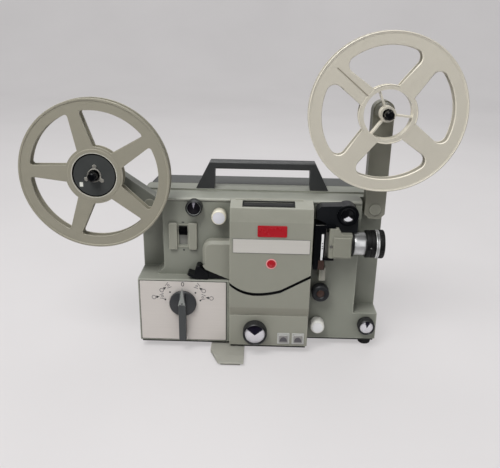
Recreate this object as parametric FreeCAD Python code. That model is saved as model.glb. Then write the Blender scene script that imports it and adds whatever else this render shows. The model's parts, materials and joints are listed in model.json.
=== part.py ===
"""Small-gauge sound movie projector with two reels on its folding arms.

Millimetres, +Z up, -Y towards the operator. The origin lies on the table, at the
middle of the front left rubber foot. "Left" and "right" are the operator's.
"""
import FreeCAD, Part
import math
import os

Vector = FreeCAD.Vector

# Housing
HOUSING_H = 188.0
SHELL_D = 70.0
REAR_D = 41.0
WALL = 3.0
TOP_WALL = 5.0
GROOVE_D = 2.0
GROOVE_W = 14.0
SHELL_R = 6.0
EDGE_R = 2.0
REAR_CHAMFER = 9.0
BASE_T = 3.0
BASE_INSET = 2.0
FOOT_H = 9.0
FOOT_R = 8.5
FOOT_IN_X = 11.0
FOOT_IN_Y = 14.0
SCREW_INSET = 14.0

# Recesses that take the folded arms, and the control block
RECESS_W = 31.0
RECESS_D = 28.0
RECESS_CHAMFER = 9.0
RIGHT_LEDGE_H = 37.0
BLOCK_W = 113.0
BLOCK_H = 86.0
BLOCK_OUT = 17.0
PANEL_T = 1.2
PANEL_MARGIN = 2.3

# Covers over the lamp and the sound drum
COVER_W = 99.6
COVER_OUT = 27.0
COVER_WALL = 2.2
COVER_GAP = 2.4
COVER_TOP_RISE = 0.6
LOWER_COVER_OUT = 24.5
LOWER_COVER_H = 43.0
SEAM_GAP = 0.3
BEVEL_H = 12.5
HOOD_BEVEL_H = 16.0
HOOD_SLOPE_H = 4.6
HOOD_BEVEL_D = 5.0
TAB_W = 84.0
TAB_H = 1.6
TAB_D = 5.0
VENT_W = 61.0
VENT_D = 7.0
FILM_SLOT = 2.3
SLOT_LEFT_RISE = 0.5
SLOT_DIP = 12.8
SLOT_RIGHT_RISE = 12.5
RIGHT_BAY = 91.0

# Film path
FILM_OUT = 14.0
LENS_DROP = 49.0
GATE_W = 13.7
GATE_UP = 25.5
GATE_DOWN = 32.0
GATE_OUT = 24.0
GATE_OFFSET = 2.2
FILM_CHANNEL = 0.9
APERTURE_R = 5.0
CHUTE_W = 8.0
CHUTE_H = 18.0
CHUTE_OUT = 16.0
EXIT_COVER_OUT = 14.0
EXIT_COVER_W = 34.1
EXIT_COVER_TOP = 51.2
EXIT_COVER_R = 12.0
EXIT_CHAMFER = 3.5
GUIDE_OUT = 17.0
GUIDE_W = 53.1

# Shafts and running fits
SHAFT_R = 3.0
PIN_R = 4.0
RUN = 0.05
GAP = 0.3
SMALL_PULLEY_R = 4.5
BELT_T = 0.8
BELT_W = 4.0
PLATE_T = 2.0

# Arms, spindles and reels
ARM_W = 25.0
ARM_T = 16.0
ARM_FRONT_GAP = 3.0
ARM_FOOT = 12.0
ARM_FOOT_CUT = 6.0
FRONT_ARM_LEN = 118.2
REAR_ARM_LEN = 72.2
REAR_ARM_LEAN = 55.5
REAR_PIVOT_IN = 15.5
FRONT_PIVOT_IN = 14.5
PIVOT_DROP = 10.5
REEL_R = 89.0
REEL_W = 13.0
REEL_BACK = 8.0
FLANGE_T = 1.6
RIM_T = 2.4
RIM_W = 2.6
SPINDLE_R = 5.2
FIN_REACH = 6.2
SPINDLE_TIP = 32.0
REEL_BORE_R = 6.35
FRONT_HUB_R = 31.5
FRONT_HUB_WALL = 4.0
FRONT_WINDOW_R = 74.0
FRONT_SPOKE_W = 22.5
FRONT_SPOKE_OUT = 19.5
FRONT_REEL_TURN = 53.0
FRONT_WINDOW_FILLET = 9.0
REAR_HUB_R = 31.0
REAR_CORE_R = 26.0
REAR_WINDOW_IN = 34.0
REAR_WINDOW_R = 75.5
REAR_SPOKE_IN = 20.0
REAR_SPOKE_OUT = 14.0
REAR_WINDOW_FILLET = 3.0

# Lens
HOLDER_W = 27.5
HOLDER_H = 30.4
HOLDER_OUT = 27.0
HOLDER_STEP_H = 7.3
HOLDER_STEP_W = 11.0
HOLDER_STEP_T = 7.0
PRESSURE_T = 2.6
TUBE_R = 9.0
SLEEVE_R = 13.5
SLEEVE_L = 17.0
ZOOM_R = 17.0
ZOOM_L = 11.3
COLLAR_R = 17.3
COLLAR_L = 2.4
FOCUS_R = 17.5
FOCUS_L = 8.6
FRONT_GLASS_R = 12.4

# Knobs, keys and switch
FUNCTION_R = 17.0
FUNCTION_H = 5.5
FUNCTION_DROP = 31.0
LEVER_END = 6.5
LEVER_W = 10.0
LEVER_H = 6.0
VOLUME_R = 15.2
VOLUME_H = 12.0
TONE_R = 10.2
SYNC_R = 10.9
SMALL_KNOB_H = 11.5
WHITE_R = 9.2
WHITE_H = 15.0
ROLLER_R = 11.0
ROLLER_H = 17.0
KEY_W = 11.6
KEY_H = 10.8
KEY_OUT = 2.6
KEY_PITCH = 18.5
SWITCH_W = 35.2
SWITCH_H = 35.2
SWITCH_T = 4.0
SWITCH_SLOT_W = 10.6
SWITCH_SLOT_H = 25.0
SLIDER_H = 9.5
SLIDER_TRAVEL = 14.0

# Handle and swing-out foot
HANDLE_W = 170.0
HANDLE_TOP_W = 133.0
HANDLE_RISE = 36.0
HANDLE_BAR = 10.0
HANDLE_LEG = 23.5
HANDLE_THIN = 6.0
HANDLE_T = 16.0
SUPPORT_W = 43.0
SUPPORT_REACH = 71.0
SUPPORT_T = 5.0
SUPPORT_X = 113.5
SUPPORT_PIVOT_Y = 14.0

# Inner works, with places counted inwards from the front wall
MOTOR_R = 30.0
MOTOR_L = 48.0
MOTOR_IN = 48.0
MOTOR_FOOT_W = 32.0
MOTOR_END_T = 3.0
PULLEY_IN = 38.0
PULLEY_W = 7.0
SPROCKET_PULLEY_IN = 14.0
SPROCKET_PULLEY_W = 6.0
ROTOR_R = 19.0
MOTOR_PULLEY_R = 6.0
MAIN_PULLEY_R = 16.0
MAIN_GEAR_R = 10.5
SHUTTER_GEAR_R = 5.5
GEAR_GAP = 0.2
GEAR_W = 7.0
FAN_R = 26.0
SHUTTER_MARGIN = 6.0
SHUTTER_T = 1.0
SHUTTER_SHAFT_R = 2.0
REFLECTOR_R = 22.0
LAMP_L = 20.0
MIRROR_W = 24.0
FLYWHEEL_R = 22.0
FLYWHEEL_W = 12.0
FLYWHEEL_IN = 10.0
DRUM_R = 7.0
DRUM_OUT = 20.0
DRUM_W = 12.0
HEAD_W = 9.5
TRANSFORMER_W = 58.0
TRANSFORMER_D = 32.0
TRANSFORMER_H = 50.0
TRANSFORMER_LEFT = 12.0
COIL_GROW = 8.0
COIL_INSET = 10.0
BOARD_W = 86.0
BOARD_H = 62.0
BOARD_T = 1.6
BOARD_LEFT = 82.0
BOARD_DROP = 30.0
BOARD_POST = 4.0
BOARD_EDGE = 5.0
CAPACITOR_R = 6.0
CAPACITOR_H = 18.0
CAPACITOR_PITCH = 16.0
HEATSINK_W = 46.0
HEATSINK_D = 15.0
HEATSINK_H = 4.0
SPEAKER_R = 38.0
SPEAKER_D = 28.0
MAGNET_R = 18.0
SOCKET_R = 6.6
SOCKET_DEPTH = 9.0
SOCKET_WINDOW_W = 80.0
SOCKET_WINDOW_H = 34.0
SOCKET_FRAME = 3.0
INLET_W = 24.0
INLET_H = 18.0
INLET_D = 12.0
INLET_WALL = 2.0

# Places that follow from the sizes
HOUSING_W = BLOCK_W + COVER_GAP + COVER_W + RIGHT_BAY
LEFT = -FOOT_IN_X
RIGHT = LEFT + HOUSING_W
MIDDLE = (LEFT + RIGHT) / 2
BASE = FOOT_H + BASE_T
TOP = BASE + HOUSING_H
FRONT = -FOOT_IN_Y
SEAM = FRONT + SHELL_D
BACK = SEAM + REAR_D
FILM_Y = FRONT - FILM_OUT
LENS_Z = TOP - LENS_DROP
COVER_X0 = LEFT + BLOCK_W + COVER_GAP
COVER_X1 = COVER_X0 + COVER_W
GATE_X0 = COVER_X1 + GATE_OFFSET
GATE_X1 = GATE_X0 + GATE_W
HOLDER_X0 = GATE_X1 + FILM_CHANNEL + PRESSURE_T
HOLDER_X1 = HOLDER_X0 + HOLDER_W
CHASSIS_Y = FRONT + RECESS_D + WALL
PIVOT_Z = TOP - PIVOT_DROP
ARM_Y0 = FRONT + ARM_FRONT_GAP
ARM_Y1 = ARM_Y0 + ARM_T
REEL_Y1 = FRONT - REEL_BACK
REEL_Y0 = REEL_Y1 - REEL_W

# Places of shafts, as (x, z)
FRONT_PIVOT = (RIGHT - FRONT_PIVOT_IN, PIVOT_Z)
REAR_PIVOT = (LEFT + REAR_PIVOT_IN, PIVOT_Z)
LEAN = math.radians(REAR_ARM_LEAN)
FRONT_AXLE = (FRONT_PIVOT[0], PIVOT_Z + FRONT_ARM_LEN)
REAR_AXLE = (REAR_PIVOT[0] - REAR_ARM_LEN * math.sin(LEAN), PIVOT_Z + REAR_ARM_LEN * math.cos(LEAN))
FUNCTION_AT = (LEFT + BLOCK_W / 2, BASE + BLOCK_H - FUNCTION_DROP)
VOLUME_AT = (COVER_X0 + 32.7, BASE + 21.0)
TONE_AT = (COVER_X0 - 44.6, TOP - 10.5)
FRAMING_AT = (COVER_X0 - 13.9, TOP - 20.5)
SPEED_AT = (COVER_X1 + 13.6, BASE + 22.0)
SYNC_AT = (RIGHT - 13.8, BASE + 21.5)
FEED_AT = (COVER_X1 + 40.9, TOP - 11.7)
LOWER_AT = (COVER_X1 + 14.6, LENS_Z - GATE_DOWN - CHUTE_H - ROLLER_R - 7.5)
MAIN_AT = (COVER_X1 + 9.0, LENS_Z - MAIN_GEAR_R - SHUTTER_GEAR_R - GEAR_GAP)
MOTOR_AT = (COVER_X1 - 1.0, BASE + 40.0)
DRUM_AT = (COVER_X0 + 54.6, BASE + 58.0)
LAMP_AT = (COVER_X0 + 50.0, LENS_Z)
SPEAKER_AT = (LEFT + 80.0, TOP - 60.0)
SOCKETS_AT = (LEFT + 70.0, BASE + 32.0)
SHUTTER_Y = FRONT + WALL + SHUTTER_GEAR_R + 0.7
SHUTTER_X = COVER_X1 - COVER_WALL - 4.2
SHUTTER_R = SHUTTER_Y - FILM_Y + SHUTTER_MARGIN
SWITCH_AT = (LEFT + RECESS_W + 25.1, TOP - 49.4)
KEYS_AT = (COVER_X1 - 21.1, BASE + 11.0)


def box(x0, x1, y0, y1, z0, z1):
    """Block between two corners."""
    return Part.makeBox(x1 - x0, y1 - y0, z1 - z0, Vector(x0, y0, z0))


def rod_y(at, radius, y0, y1):
    """Round bar along Y at a place (x, z)."""
    return Part.makeCylinder(radius, y1 - y0, Vector(at[0], y0, at[1]), Vector(0, 1, 0))


def rod_x(y, z, radius, x0, x1):
    """Round bar along X."""
    return Part.makeCylinder(radius, x1 - x0, Vector(x0, y, z), Vector(1, 0, 0))


def rod_z(x, y, radius, z0, z1):
    """Round bar along Z."""
    return Part.makeCylinder(radius, z1 - z0, Vector(x, y, z0))


def ring_y(at, outer, inner, y0, y1):
    """Round ring along Y."""
    return rod_y(at, outer, y0, y1).cut(rod_y(at, inner, y0 - 1, y1 + 1))


def fuse(*shapes):
    """One solid from several that touch or overlap."""
    return shapes[0].multiFuse(list(shapes[1:])).removeSplitter()


def prism_xz(points, y0, y1):
    """Straight-sided outline in the XZ plane, from y0 to y1."""
    corners = [Vector(x, y0, z) for x, z in points]
    face = Part.Face(Part.makePolygon(corners + corners[:1]))
    return face.extrude(Vector(0, y1 - y0, 0))


def prism_yz(points, x0, x1):
    """Straight-sided outline in the YZ plane, from x0 to x1."""
    corners = [Vector(x0, y, z) for y, z in points]
    face = Part.Face(Part.makePolygon(corners + corners[:1]))
    return face.extrude(Vector(x1 - x0, 0, 0))


def prism_xy(points, z0, z1):
    """Straight-sided outline in the XY plane, from z0 to z1."""
    corners = [Vector(x, y, z0) for x, y in points]
    face = Part.Face(Part.makePolygon(corners + corners[:1]))
    return face.extrude(Vector(0, 0, z1 - z0))


def turned_y(at, profile):
    """Turned piece on a Y axis, from (radius, y) points."""
    corners = [Vector(radius, y, 0) for radius, y in profile]
    face = Part.Face(Part.makePolygon(corners + corners[:1]))
    piece = face.revolve(Vector(0, 0, 0), Vector(0, 1, 0), 360)
    piece.translate(Vector(at[0], 0, at[1]))
    return piece


def turned_x(y, z, profile):
    """Turned piece on an X axis, from (x, radius) points."""
    corners = [Vector(x, radius, 0) for x, radius in profile]
    face = Part.Face(Part.makePolygon(corners + corners[:1]))
    piece = face.revolve(Vector(0, 0, 0), Vector(1, 0, 0), 360)
    piece.translate(Vector(0, y, z))
    return piece


def edges_along(shape, direction, where):
    """Straight edges of one direction whose middle passes a test."""
    found = []
    for edge in shape.Edges:
        if not isinstance(edge.Curve, Part.Line):
            continue
        ends = [vertex.Point for vertex in edge.Vertexes]
        run = (ends[1] - ends[0]).normalize()
        if abs(abs(run.dot(direction)) - 1) < 1e-6 and where(edge.CenterOfMass):
            found.append(edge)
    return found


def rounded(shape, radius, direction, where=lambda middle: True):
    """The shape with its chosen straight edges rounded."""
    return shape.makeFillet(radius, edges_along(shape, direction, where))


def chamfered(shape, size, direction, where):
    """The shape with its chosen straight edges cut at 45 degrees."""
    return shape.makeChamfer(size, edges_along(shape, direction, where))


ALONG_X = Vector(1, 0, 0)
ALONG_Y = Vector(0, 1, 0)
ALONG_Z = Vector(0, 0, 1)


def belt_outline(places, radii, y, grow):
    """Closed outline of a belt round pulleys listed anticlockwise, as a face."""
    count = len(places)
    normals = []
    for i in range(count):
        ax, az = places[i]
        bx, bz = places[(i + 1) % count]
        length = math.hypot(bx - ax, bz - az)
        heading = math.atan2(bz - az, bx - ax)
        normals.append(heading - math.acos((radii[i] - radii[(i + 1) % count]) / length))

    def rim(i, angle):
        reach = radii[i] + grow
        return Vector(places[i][0] + reach * math.cos(angle), y, places[i][1] + reach * math.sin(angle))

    edges = []
    for i in range(count):
        j = (i + 1) % count
        edges.append(Part.LineSegment(rim(i, normals[i]), rim(j, normals[i])).toShape())
        start = normals[i]
        end = normals[j]
        while end < start:
            end += 2 * math.pi
        edges.append(Part.Arc(rim(j, start), rim(j, (start + end) / 2), rim(j, end)).toShape())
    return Part.Face(Part.Wire(edges))


def belt(places, radii, y0, y1):
    """Flat belt that lies on its pulleys with a little air."""
    outer = belt_outline(places, radii, y0, GAP + BELT_T).extrude(Vector(0, y1 - y0, 0))
    inner = belt_outline(places, radii, y0 - 1, GAP).extrude(Vector(0, y1 - y0 + 2, 0))
    return outer.cut(inner)


def slot_line(shift):
    """Edges of the curved film slot from left to right, at y = 0, moved up by shift."""
    level = BASE + BLOCK_H + shift
    start = Vector(COVER_X0, 0, level + SLOT_LEFT_RISE)
    low = Vector(COVER_X0 + 0.32 * COVER_W, 0, level - SLOT_DIP)
    rise = Vector(COVER_X0 + 0.64 * COVER_W, 0, low.z + 5.0)
    end = Vector(COVER_X1, 0, level + SLOT_RIGHT_RISE)
    dip = Vector(COVER_X0 + 0.13 * COVER_W, 0, (start.z + low.z) / 2 - 2.2)
    climb = Vector(COVER_X0 + 0.48 * COVER_W, 0, low.z + 1.2)
    return [
        Part.Arc(start, dip, low).toShape(),
        Part.Arc(low, climb, rise).toShape(),
        Part.LineSegment(rise, end).toShape(),
    ]


def beside_slot(shift, z_edge, x0, x1):
    """Block 60 deep behind y = -COVER_OUT - 1, between the slot line and a level."""
    edges = slot_line(shift)
    start = edges[0].Vertexes[0].Point
    end = edges[-1].Vertexes[-1].Point
    corners = [end, Vector(end.x, 0, z_edge), Vector(start.x, 0, z_edge), start]
    for i in range(3):
        edges.append(Part.LineSegment(corners[i], corners[i + 1]).toShape())
    face = Part.Face(Part.Wire(edges))
    face.translate(Vector(0, FRONT - COVER_OUT - 1, 0))
    block = face.extrude(Vector(0, 60, 0))
    return block.common(box(x0, x1, FRONT - COVER_OUT - 2, FRONT + 60, BASE - 5, TOP + 10))


def shaft_hole(at, y0, y1, radius=SHAFT_R):
    """Running bore for a shaft along Y."""
    return rod_y(at, radius + RUN, y0, y1)


def housing_cavity():
    """Inside of the front shell, open at the back and at the bottom."""
    inner_top = TOP - TOP_WALL
    floor = BASE - 1
    behind = box(LEFT + WALL, RIGHT - WALL, CHASSIS_Y, SEAM + 1, floor, inner_top)
    bay = box(LEFT + RECESS_W + WALL, RIGHT - RECESS_W - WALL, FRONT + WALL, CHASSIS_Y + 1, floor, inner_top)
    under_left = box(LEFT + WALL, LEFT + RECESS_W + WALL + 1, FRONT + WALL, CHASSIS_Y + 1,
                     floor, BASE + BLOCK_H - WALL)
    under_right = box(RIGHT - RECESS_W - WALL - 1, RIGHT - WALL, FRONT + WALL, CHASSIS_Y + 1,
                      floor, BASE + RIGHT_LEDGE_H - WALL)
    block = box(LEFT + WALL, LEFT + BLOCK_W - WALL, FRONT - BLOCK_OUT + WALL, FRONT + WALL + 1,
                floor, BASE + BLOCK_H - WALL)
    return fuse(behind, bay, under_left, under_right, block)


def main_housing():
    """Front shell with its two arm recesses and the control block."""
    full = box(LEFT, RIGHT, FRONT + RECESS_D, SEAM, BASE, TOP)
    full = rounded(full, SHELL_R, ALONG_Y, lambda m: m.z > TOP - 1)
    middle = box(LEFT + RECESS_W, RIGHT - RECESS_W, FRONT, FRONT + RECESS_D + WALL, BASE, TOP)
    middle = rounded(middle, EDGE_R, ALONG_X, lambda m: m.z > TOP - 1 and m.y < FRONT + 1)
    left_ledge = box(LEFT, LEFT + RECESS_W + 1, FRONT, FRONT + RECESS_D + WALL, BASE, BASE + BLOCK_H)
    right_ledge = box(RIGHT - RECESS_W - 1, RIGHT, FRONT, FRONT + RECESS_D + WALL, BASE, BASE + RIGHT_LEDGE_H)
    block = box(LEFT, LEFT + BLOCK_W, FRONT - BLOCK_OUT, FRONT + WALL, BASE, BASE + BLOCK_H)
    block = rounded(block, EDGE_R, ALONG_X, lambda m: m.z > BASE + 1 and m.y < FRONT - 1)
    edge = LEFT + RECESS_W
    ledge_z = BASE + BLOCK_H
    wedge = prism_xz([(edge - RECESS_CHAMFER, ledge_z - 1), (edge + 1, ledge_z - 1),
                      (edge + 1, ledge_z + RECESS_CHAMFER), (edge, ledge_z + RECESS_CHAMFER),
                      (edge - RECESS_CHAMFER, ledge_z)], FRONT, FRONT + RECESS_D + 1)
    shell = fuse(full, middle, left_ledge, right_ledge, block, wedge).cut(housing_cavity())
    groove_y = FRONT + RECESS_D
    cuts = [box(LEFT - 1, RIGHT + 1, groove_y, groove_y + GROOVE_W, TOP - GROOVE_D, TOP + 1)]
    cuts.append(box(COVER_X0 + 8, COVER_X1 - COVER_WALL - 0.8, FRONT - 1, FRONT + WALL + 1,
                    BASE + BLOCK_H + 9, TOP - 10))
    cuts.append(shaft_hole(FUNCTION_AT, FRONT - BLOCK_OUT - 1, FRONT - BLOCK_OUT + WALL + 1))
    for at in (TONE_AT, FRAMING_AT, SPEED_AT, SYNC_AT, FEED_AT, LOWER_AT, DRUM_AT, VOLUME_AT):
        cuts.append(shaft_hole(at, FRONT - 1, FRONT + WALL + 1))
    for at in (FRONT_PIVOT, REAR_PIVOT):
        cuts.append(rod_y(at, PIN_R, FRONT + RECESS_D - 1, CHASSIS_Y + 1))
    x, z = SWITCH_AT
    half_w = SWITCH_SLOT_W / 2
    half_h = SWITCH_SLOT_H / 2
    cuts.append(box(x - half_w, x + half_w, FRONT - 1, FRONT + WALL + 1, z - half_h, z + half_h))
    return shell.cut(cuts)


def rear_cover():
    """Dark rear shell with the loudspeaker grille, the air slots and the socket window."""
    outer = chamfered(box(LEFT, RIGHT, SEAM, BACK, BASE, TOP), REAR_CHAMFER, ALONG_Y, lambda m: m.z > TOP - 1)
    outer = rounded(outer, EDGE_R, ALONG_Z, lambda m: m.y > BACK - 1)
    ceiling = TOP - TOP_WALL
    inner = box(LEFT + WALL, RIGHT - WALL, SEAM - 1, BACK - WALL, BASE - 1, ceiling)
    shell = outer.cut(chamfered(inner, REAR_CHAMFER - WALL / 2, ALONG_Y, lambda m: m.z > ceiling - 1))
    cuts = []
    slot_count = 14
    for i in range(slot_count):
        x = RIGHT - 118 + i * 7.0
        cuts.append(box(x, x + 3, BACK - WALL - 1, BACK + 1, BASE + 20, BASE + 75))
    row_count = 9
    for i in range(row_count):
        rise = (i - (row_count - 1) / 2) * 7.0
        half = math.sqrt((SPEAKER_R - 4) ** 2 - rise ** 2)
        x, z = SPEAKER_AT[0], SPEAKER_AT[1] + rise
        cuts.append(box(x - half, x + half, BACK - WALL - 1, BACK + 1, z - 1.4, z + 1.4))
    x, z = SOCKETS_AT
    half_w, half_h = SOCKET_WINDOW_W / 2, SOCKET_WINDOW_H / 2
    cuts.append(box(x - half_w, x + half_w, BACK - WALL - 1, BACK + 1, z - half_h, z + half_h))
    for place in screw_places():
        cuts.append(rod_y(place, 2.0, BACK - WALL - 1, BACK + 1))
        cuts.append(rod_y(place, 4.1, BACK - 1.6, BACK + 1))
    return shell.cut(cuts)


def screw_places():
    """The four case screws, as (x, z)."""
    inset = SCREW_INSET
    return [(x, z) for x in (LEFT + inset, RIGHT - inset) for z in (BASE + inset, TOP - inset)]


def case_screws():
    """Slotted screws that hold the rear cover."""
    screws = []
    for at in screw_places():
        head = rod_y(at, 4.0, BACK - 1.6, BACK - 0.1)
        slot = box(at[0] - 5, at[0] + 5, BACK - 0.8, BACK + 1, at[1] - 0.5, at[1] + 0.5)
        shank = rod_y(at, 2.0, BACK - 12, BACK - 1.5)
        screws.append(fuse(head, shank).cut(slot))
    return Part.makeCompound(screws)


def base_plate():
    """Bottom plate under both shells, inset all round."""
    x0, x1 = LEFT + BASE_INSET, RIGHT - BASE_INSET
    plate = box(x0, x1, FRONT + BASE_INSET, BACK - BASE_INSET, FOOT_H, BASE)
    block = box(x0, LEFT + BLOCK_W - BASE_INSET, FRONT - BLOCK_OUT + BASE_INSET, FRONT + 5, FOOT_H, BASE)
    lip = box(COVER_X0 + BASE_INSET, COVER_X1 - BASE_INSET, FRONT - LOWER_COVER_OUT + BASE_INSET, FRONT + 5,
              FOOT_H, BASE)
    pivot = rod_z(LEFT + SUPPORT_X, FRONT + SUPPORT_PIVOT_Y, SHAFT_R + RUN, FOOT_H - 1, BASE + 1)
    return fuse(plate, block, lip).cut(pivot)


def rubber_feet():
    """Four feet of one size."""
    feet = []
    for x in (LEFT + FOOT_IN_X, RIGHT - FOOT_IN_X):
        for y in (FRONT + FOOT_IN_Y, BACK - FOOT_IN_Y):
            foot = rod_z(x, y, FOOT_R, 0, FOOT_H)
            foot = foot.makeChamfer(1.2, [edge for edge in foot.Edges if edge.CenterOfMass.z < 0.1])
            feet.append(foot)
    return Part.makeCompound(feet)


def carry_handle():
    """Fixed handle with splayed legs."""
    foot, top = HANDLE_W / 2, HANDLE_TOP_W / 2
    y0 = FRONT + RECESS_D + GROOVE_W + 2
    crown = TOP + HANDLE_RISE
    under = crown - HANDLE_BAR
    half = [(foot, TOP), (foot - HANDLE_LEG, TOP), (top - HANDLE_THIN, under)]
    outline = [(MIDDLE - top, crown), (MIDDLE + top, crown)]
    outline += [(MIDDLE + x, z) for x, z in half]
    outline += [(MIDDLE - x, z) for x, z in reversed(half)]
    shape = prism_xz(outline, y0, y0 + HANDLE_T)
    shape = rounded(shape, 3.0, ALONG_X, lambda m: m.z > crown - 1)
    return rounded(shape, 2.0, ALONG_X, lambda m: abs(m.z - under) < 1)


def control_panel():
    """Pale plate on the control block."""
    edge = PANEL_MARGIN
    y1 = FRONT - BLOCK_OUT
    plate = box(LEFT + edge, LEFT + BLOCK_W - edge, y1 - PANEL_T, y1, BASE + edge, BASE + BLOCK_H - edge)
    plate = rounded(plate, 1.0, ALONG_Y)
    return plate.cut(shaft_hole(FUNCTION_AT, y1 - PANEL_T - 1, y1 + 1, SHAFT_R + 0.5))


def chassis_plate():
    """Steel plate that carries the works, with two bent ears for the shutter shaft."""
    y0, y1 = CHASSIS_Y, CHASSIS_Y + PLATE_T
    plate = box(LEFT + 6, RIGHT - 6, y0, y1, BASE, TOP - TOP_WALL)
    ears = []
    for x in (SHUTTER_X - 8, SHUTTER_X + 5):
        ear = box(x, x + PLATE_T, SHUTTER_Y - 4, y1, LENS_Z - 4, LENS_Z + 4)
        ears.append(ear.cut(rod_x(SHUTTER_Y, LENS_Z, SHUTTER_SHAFT_R + RUN, x - 1, x + PLATE_T + 1)))
    holes = [shaft_hole(at, y0 - 1, y1 + 1) for at in (MAIN_AT, FEED_AT, LOWER_AT, DRUM_AT)]
    reach = SHUTTER_R + 1.5
    holes.append(box(SHUTTER_X - 2, SHUTTER_X + SHUTTER_T + 2, y0 - 1, y1 + 1, LENS_Z - reach, LENS_Z + reach))
    return fuse(plate, *ears).cut(holes)


def hood_profile(inset):
    """Side outline of the lamp cover as (y, z), moved inwards by inset."""
    crown = TOP + COVER_TOP_RISE - inset
    back = FRONT if inset == 0 else FRONT + 1
    out = FRONT - COVER_OUT + inset
    return [(back, BASE), (out, BASE), (out, TOP - HOOD_SLOPE_H - HOOD_BEVEL_H),
            (out + HOOD_BEVEL_D, TOP - HOOD_SLOPE_H - 0.4 * inset), (FRONT - 4, crown), (back, crown)]


def lamp_cover():
    """Upper cover over the lamp, ending at the curved film slot."""
    half = FILM_SLOT / 2
    outer = beside_slot(half, TOP + 5, COVER_X0, COVER_X1)
    outer = outer.common(prism_yz(hood_profile(0), COVER_X0, COVER_X1))
    x0, x1 = COVER_X0 + COVER_WALL, COVER_X1 - COVER_WALL
    inner = beside_slot(half + COVER_WALL, TOP + 5, x0, x1)
    inner = inner.common(prism_yz(hood_profile(COVER_WALL), x0, x1))
    middle = COVER_X0 + 46
    tab = box(middle - TAB_W / 2 + 2, middle + TAB_W / 2, FRONT - TAB_D, FRONT, TOP - 1, TOP + TAB_H)
    vent_y = FRONT - 8
    vent = box(middle - VENT_W / 2, middle + VENT_W / 2, vent_y - VENT_D, vent_y, TOP - 12, TOP + 5)
    return fuse(outer.cut(inner), tab).cut(vent)


def sound_cover():
    """Cover over the sound drum, between the film slot and the seam."""
    half = FILM_SLOT / 2
    low = BASE + LOWER_COVER_H + SEAM_GAP
    out = FRONT - COVER_OUT
    step = COVER_OUT - LOWER_COVER_OUT
    outer = beside_slot(-half, low, COVER_X0, COVER_X1)
    side = [(FRONT, low), (out + step, low), (out, low + BEVEL_H), (out, TOP), (FRONT, TOP)]
    outer = outer.common(prism_yz(side, COVER_X0, COVER_X1))
    x0, x1 = COVER_X0 + COVER_WALL, COVER_X1 - COVER_WALL
    inner = beside_slot(-half - COVER_WALL, low + COVER_WALL, x0, x1)
    inner = inner.common(box(x0, x1, FRONT - LOWER_COVER_OUT + COVER_WALL, FRONT + 1, low, TOP))
    return outer.cut(inner)


def key_places():
    """Centres of the two square keys, as (x, z)."""
    half = KEY_PITCH / 2
    return [(KEYS_AT[0] - half, KEYS_AT[1]), (KEYS_AT[0] + half, KEYS_AT[1])]


def lower_cover():
    """Fixed cover that carries the volume knob and the two keys."""
    y0 = FRONT - LOWER_COVER_OUT
    top = BASE + LOWER_COVER_H
    shell = box(COVER_X0, COVER_X1, y0, FRONT, BASE, top)
    shell = rounded(shell, 1.2, ALONG_Z, lambda m: m.y < y0 + 1)
    wall = COVER_WALL
    cavity = box(COVER_X0 + wall, COVER_X1 - wall, y0 + wall, FRONT + 1, BASE - 1, top - wall)
    cuts = [cavity, shaft_hole(VOLUME_AT, y0 - 1, y0 + wall + 1)]
    slack = 0.2
    for x, z in key_places():
        cuts.append(box(x - KEY_W / 2 - slack, x + KEY_W / 2 + slack, y0 - 1, y0 + wall + 1,
                        z - KEY_H / 2 - slack, z + KEY_H / 2 + slack))
    return shell.cut(cuts)


def exit_cover_outline(inset):
    """Front outline of the exit cover, moved inwards by inset."""
    x0 = COVER_X0 - GAP - EXIT_COVER_W + inset
    x1 = COVER_X0 - GAP - inset
    top = TOP - EXIT_COVER_TOP - inset
    right_low = BASE + BLOCK_H + 4.0 + inset
    left_low = right_low + (x1 - x0) * 0.45
    return [(x0, left_low), (x1, right_low), (x1, top), (x0, top)]


def exit_cover():
    """Rounded cover left of the lamp cover, over the film's way out."""
    y0 = FRONT - EXIT_COVER_OUT
    outer = prism_xz(exit_cover_outline(0), y0, FRONT)
    x0 = exit_cover_outline(0)[0][0]
    outer = rounded(outer, EXIT_COVER_R, ALONG_Y, lambda m: m.x < x0 + 1 and m.z > TOP - EXIT_COVER_TOP - 1)
    front_edges = []
    for edge in outer.Edges:
        middle = edge.CenterOfMass
        on_front = abs(edge.Vertexes[0].Point.y - y0) < 0.01 and abs(edge.Vertexes[-1].Point.y - y0) < 0.01
        low = middle.z < TOP - EXIT_COVER_TOP - 40 and middle.x > x0 + 5
        if on_front and not low and middle.x < COVER_X0 - GAP - 0.5:
            front_edges.append(edge)
    outer = outer.makeChamfer(EXIT_CHAMFER, front_edges)
    inner = prism_xz(exit_cover_outline(EXIT_CHAMFER + 1), y0 + WALL, FRONT + 1)
    return outer.cut(inner)


def exit_guide():
    """Black lip where the film leaves towards the take-up reel."""
    floor = BASE + BLOCK_H
    x1 = COVER_X0 - GAP
    x0 = x1 - GUIDE_W
    cover_left, cover_right = exit_cover_outline(0)[:2]
    outline = [(x0, floor + 11), (x0 + 9, floor + 9), (x0 + 12, floor + 20), (x0 + 16.5, floor + 20),
               (cover_left[0], cover_left[1] - GAP), (cover_right[0], cover_right[1] - GAP), (x1, floor + 1.2),
               (x0 + 20, floor), (x0 + 9, floor + 1), (x0 + 3, floor + 6)]
    return prism_xz(outline, FRONT - GUIDE_OUT + 1, FRONT)


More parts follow.
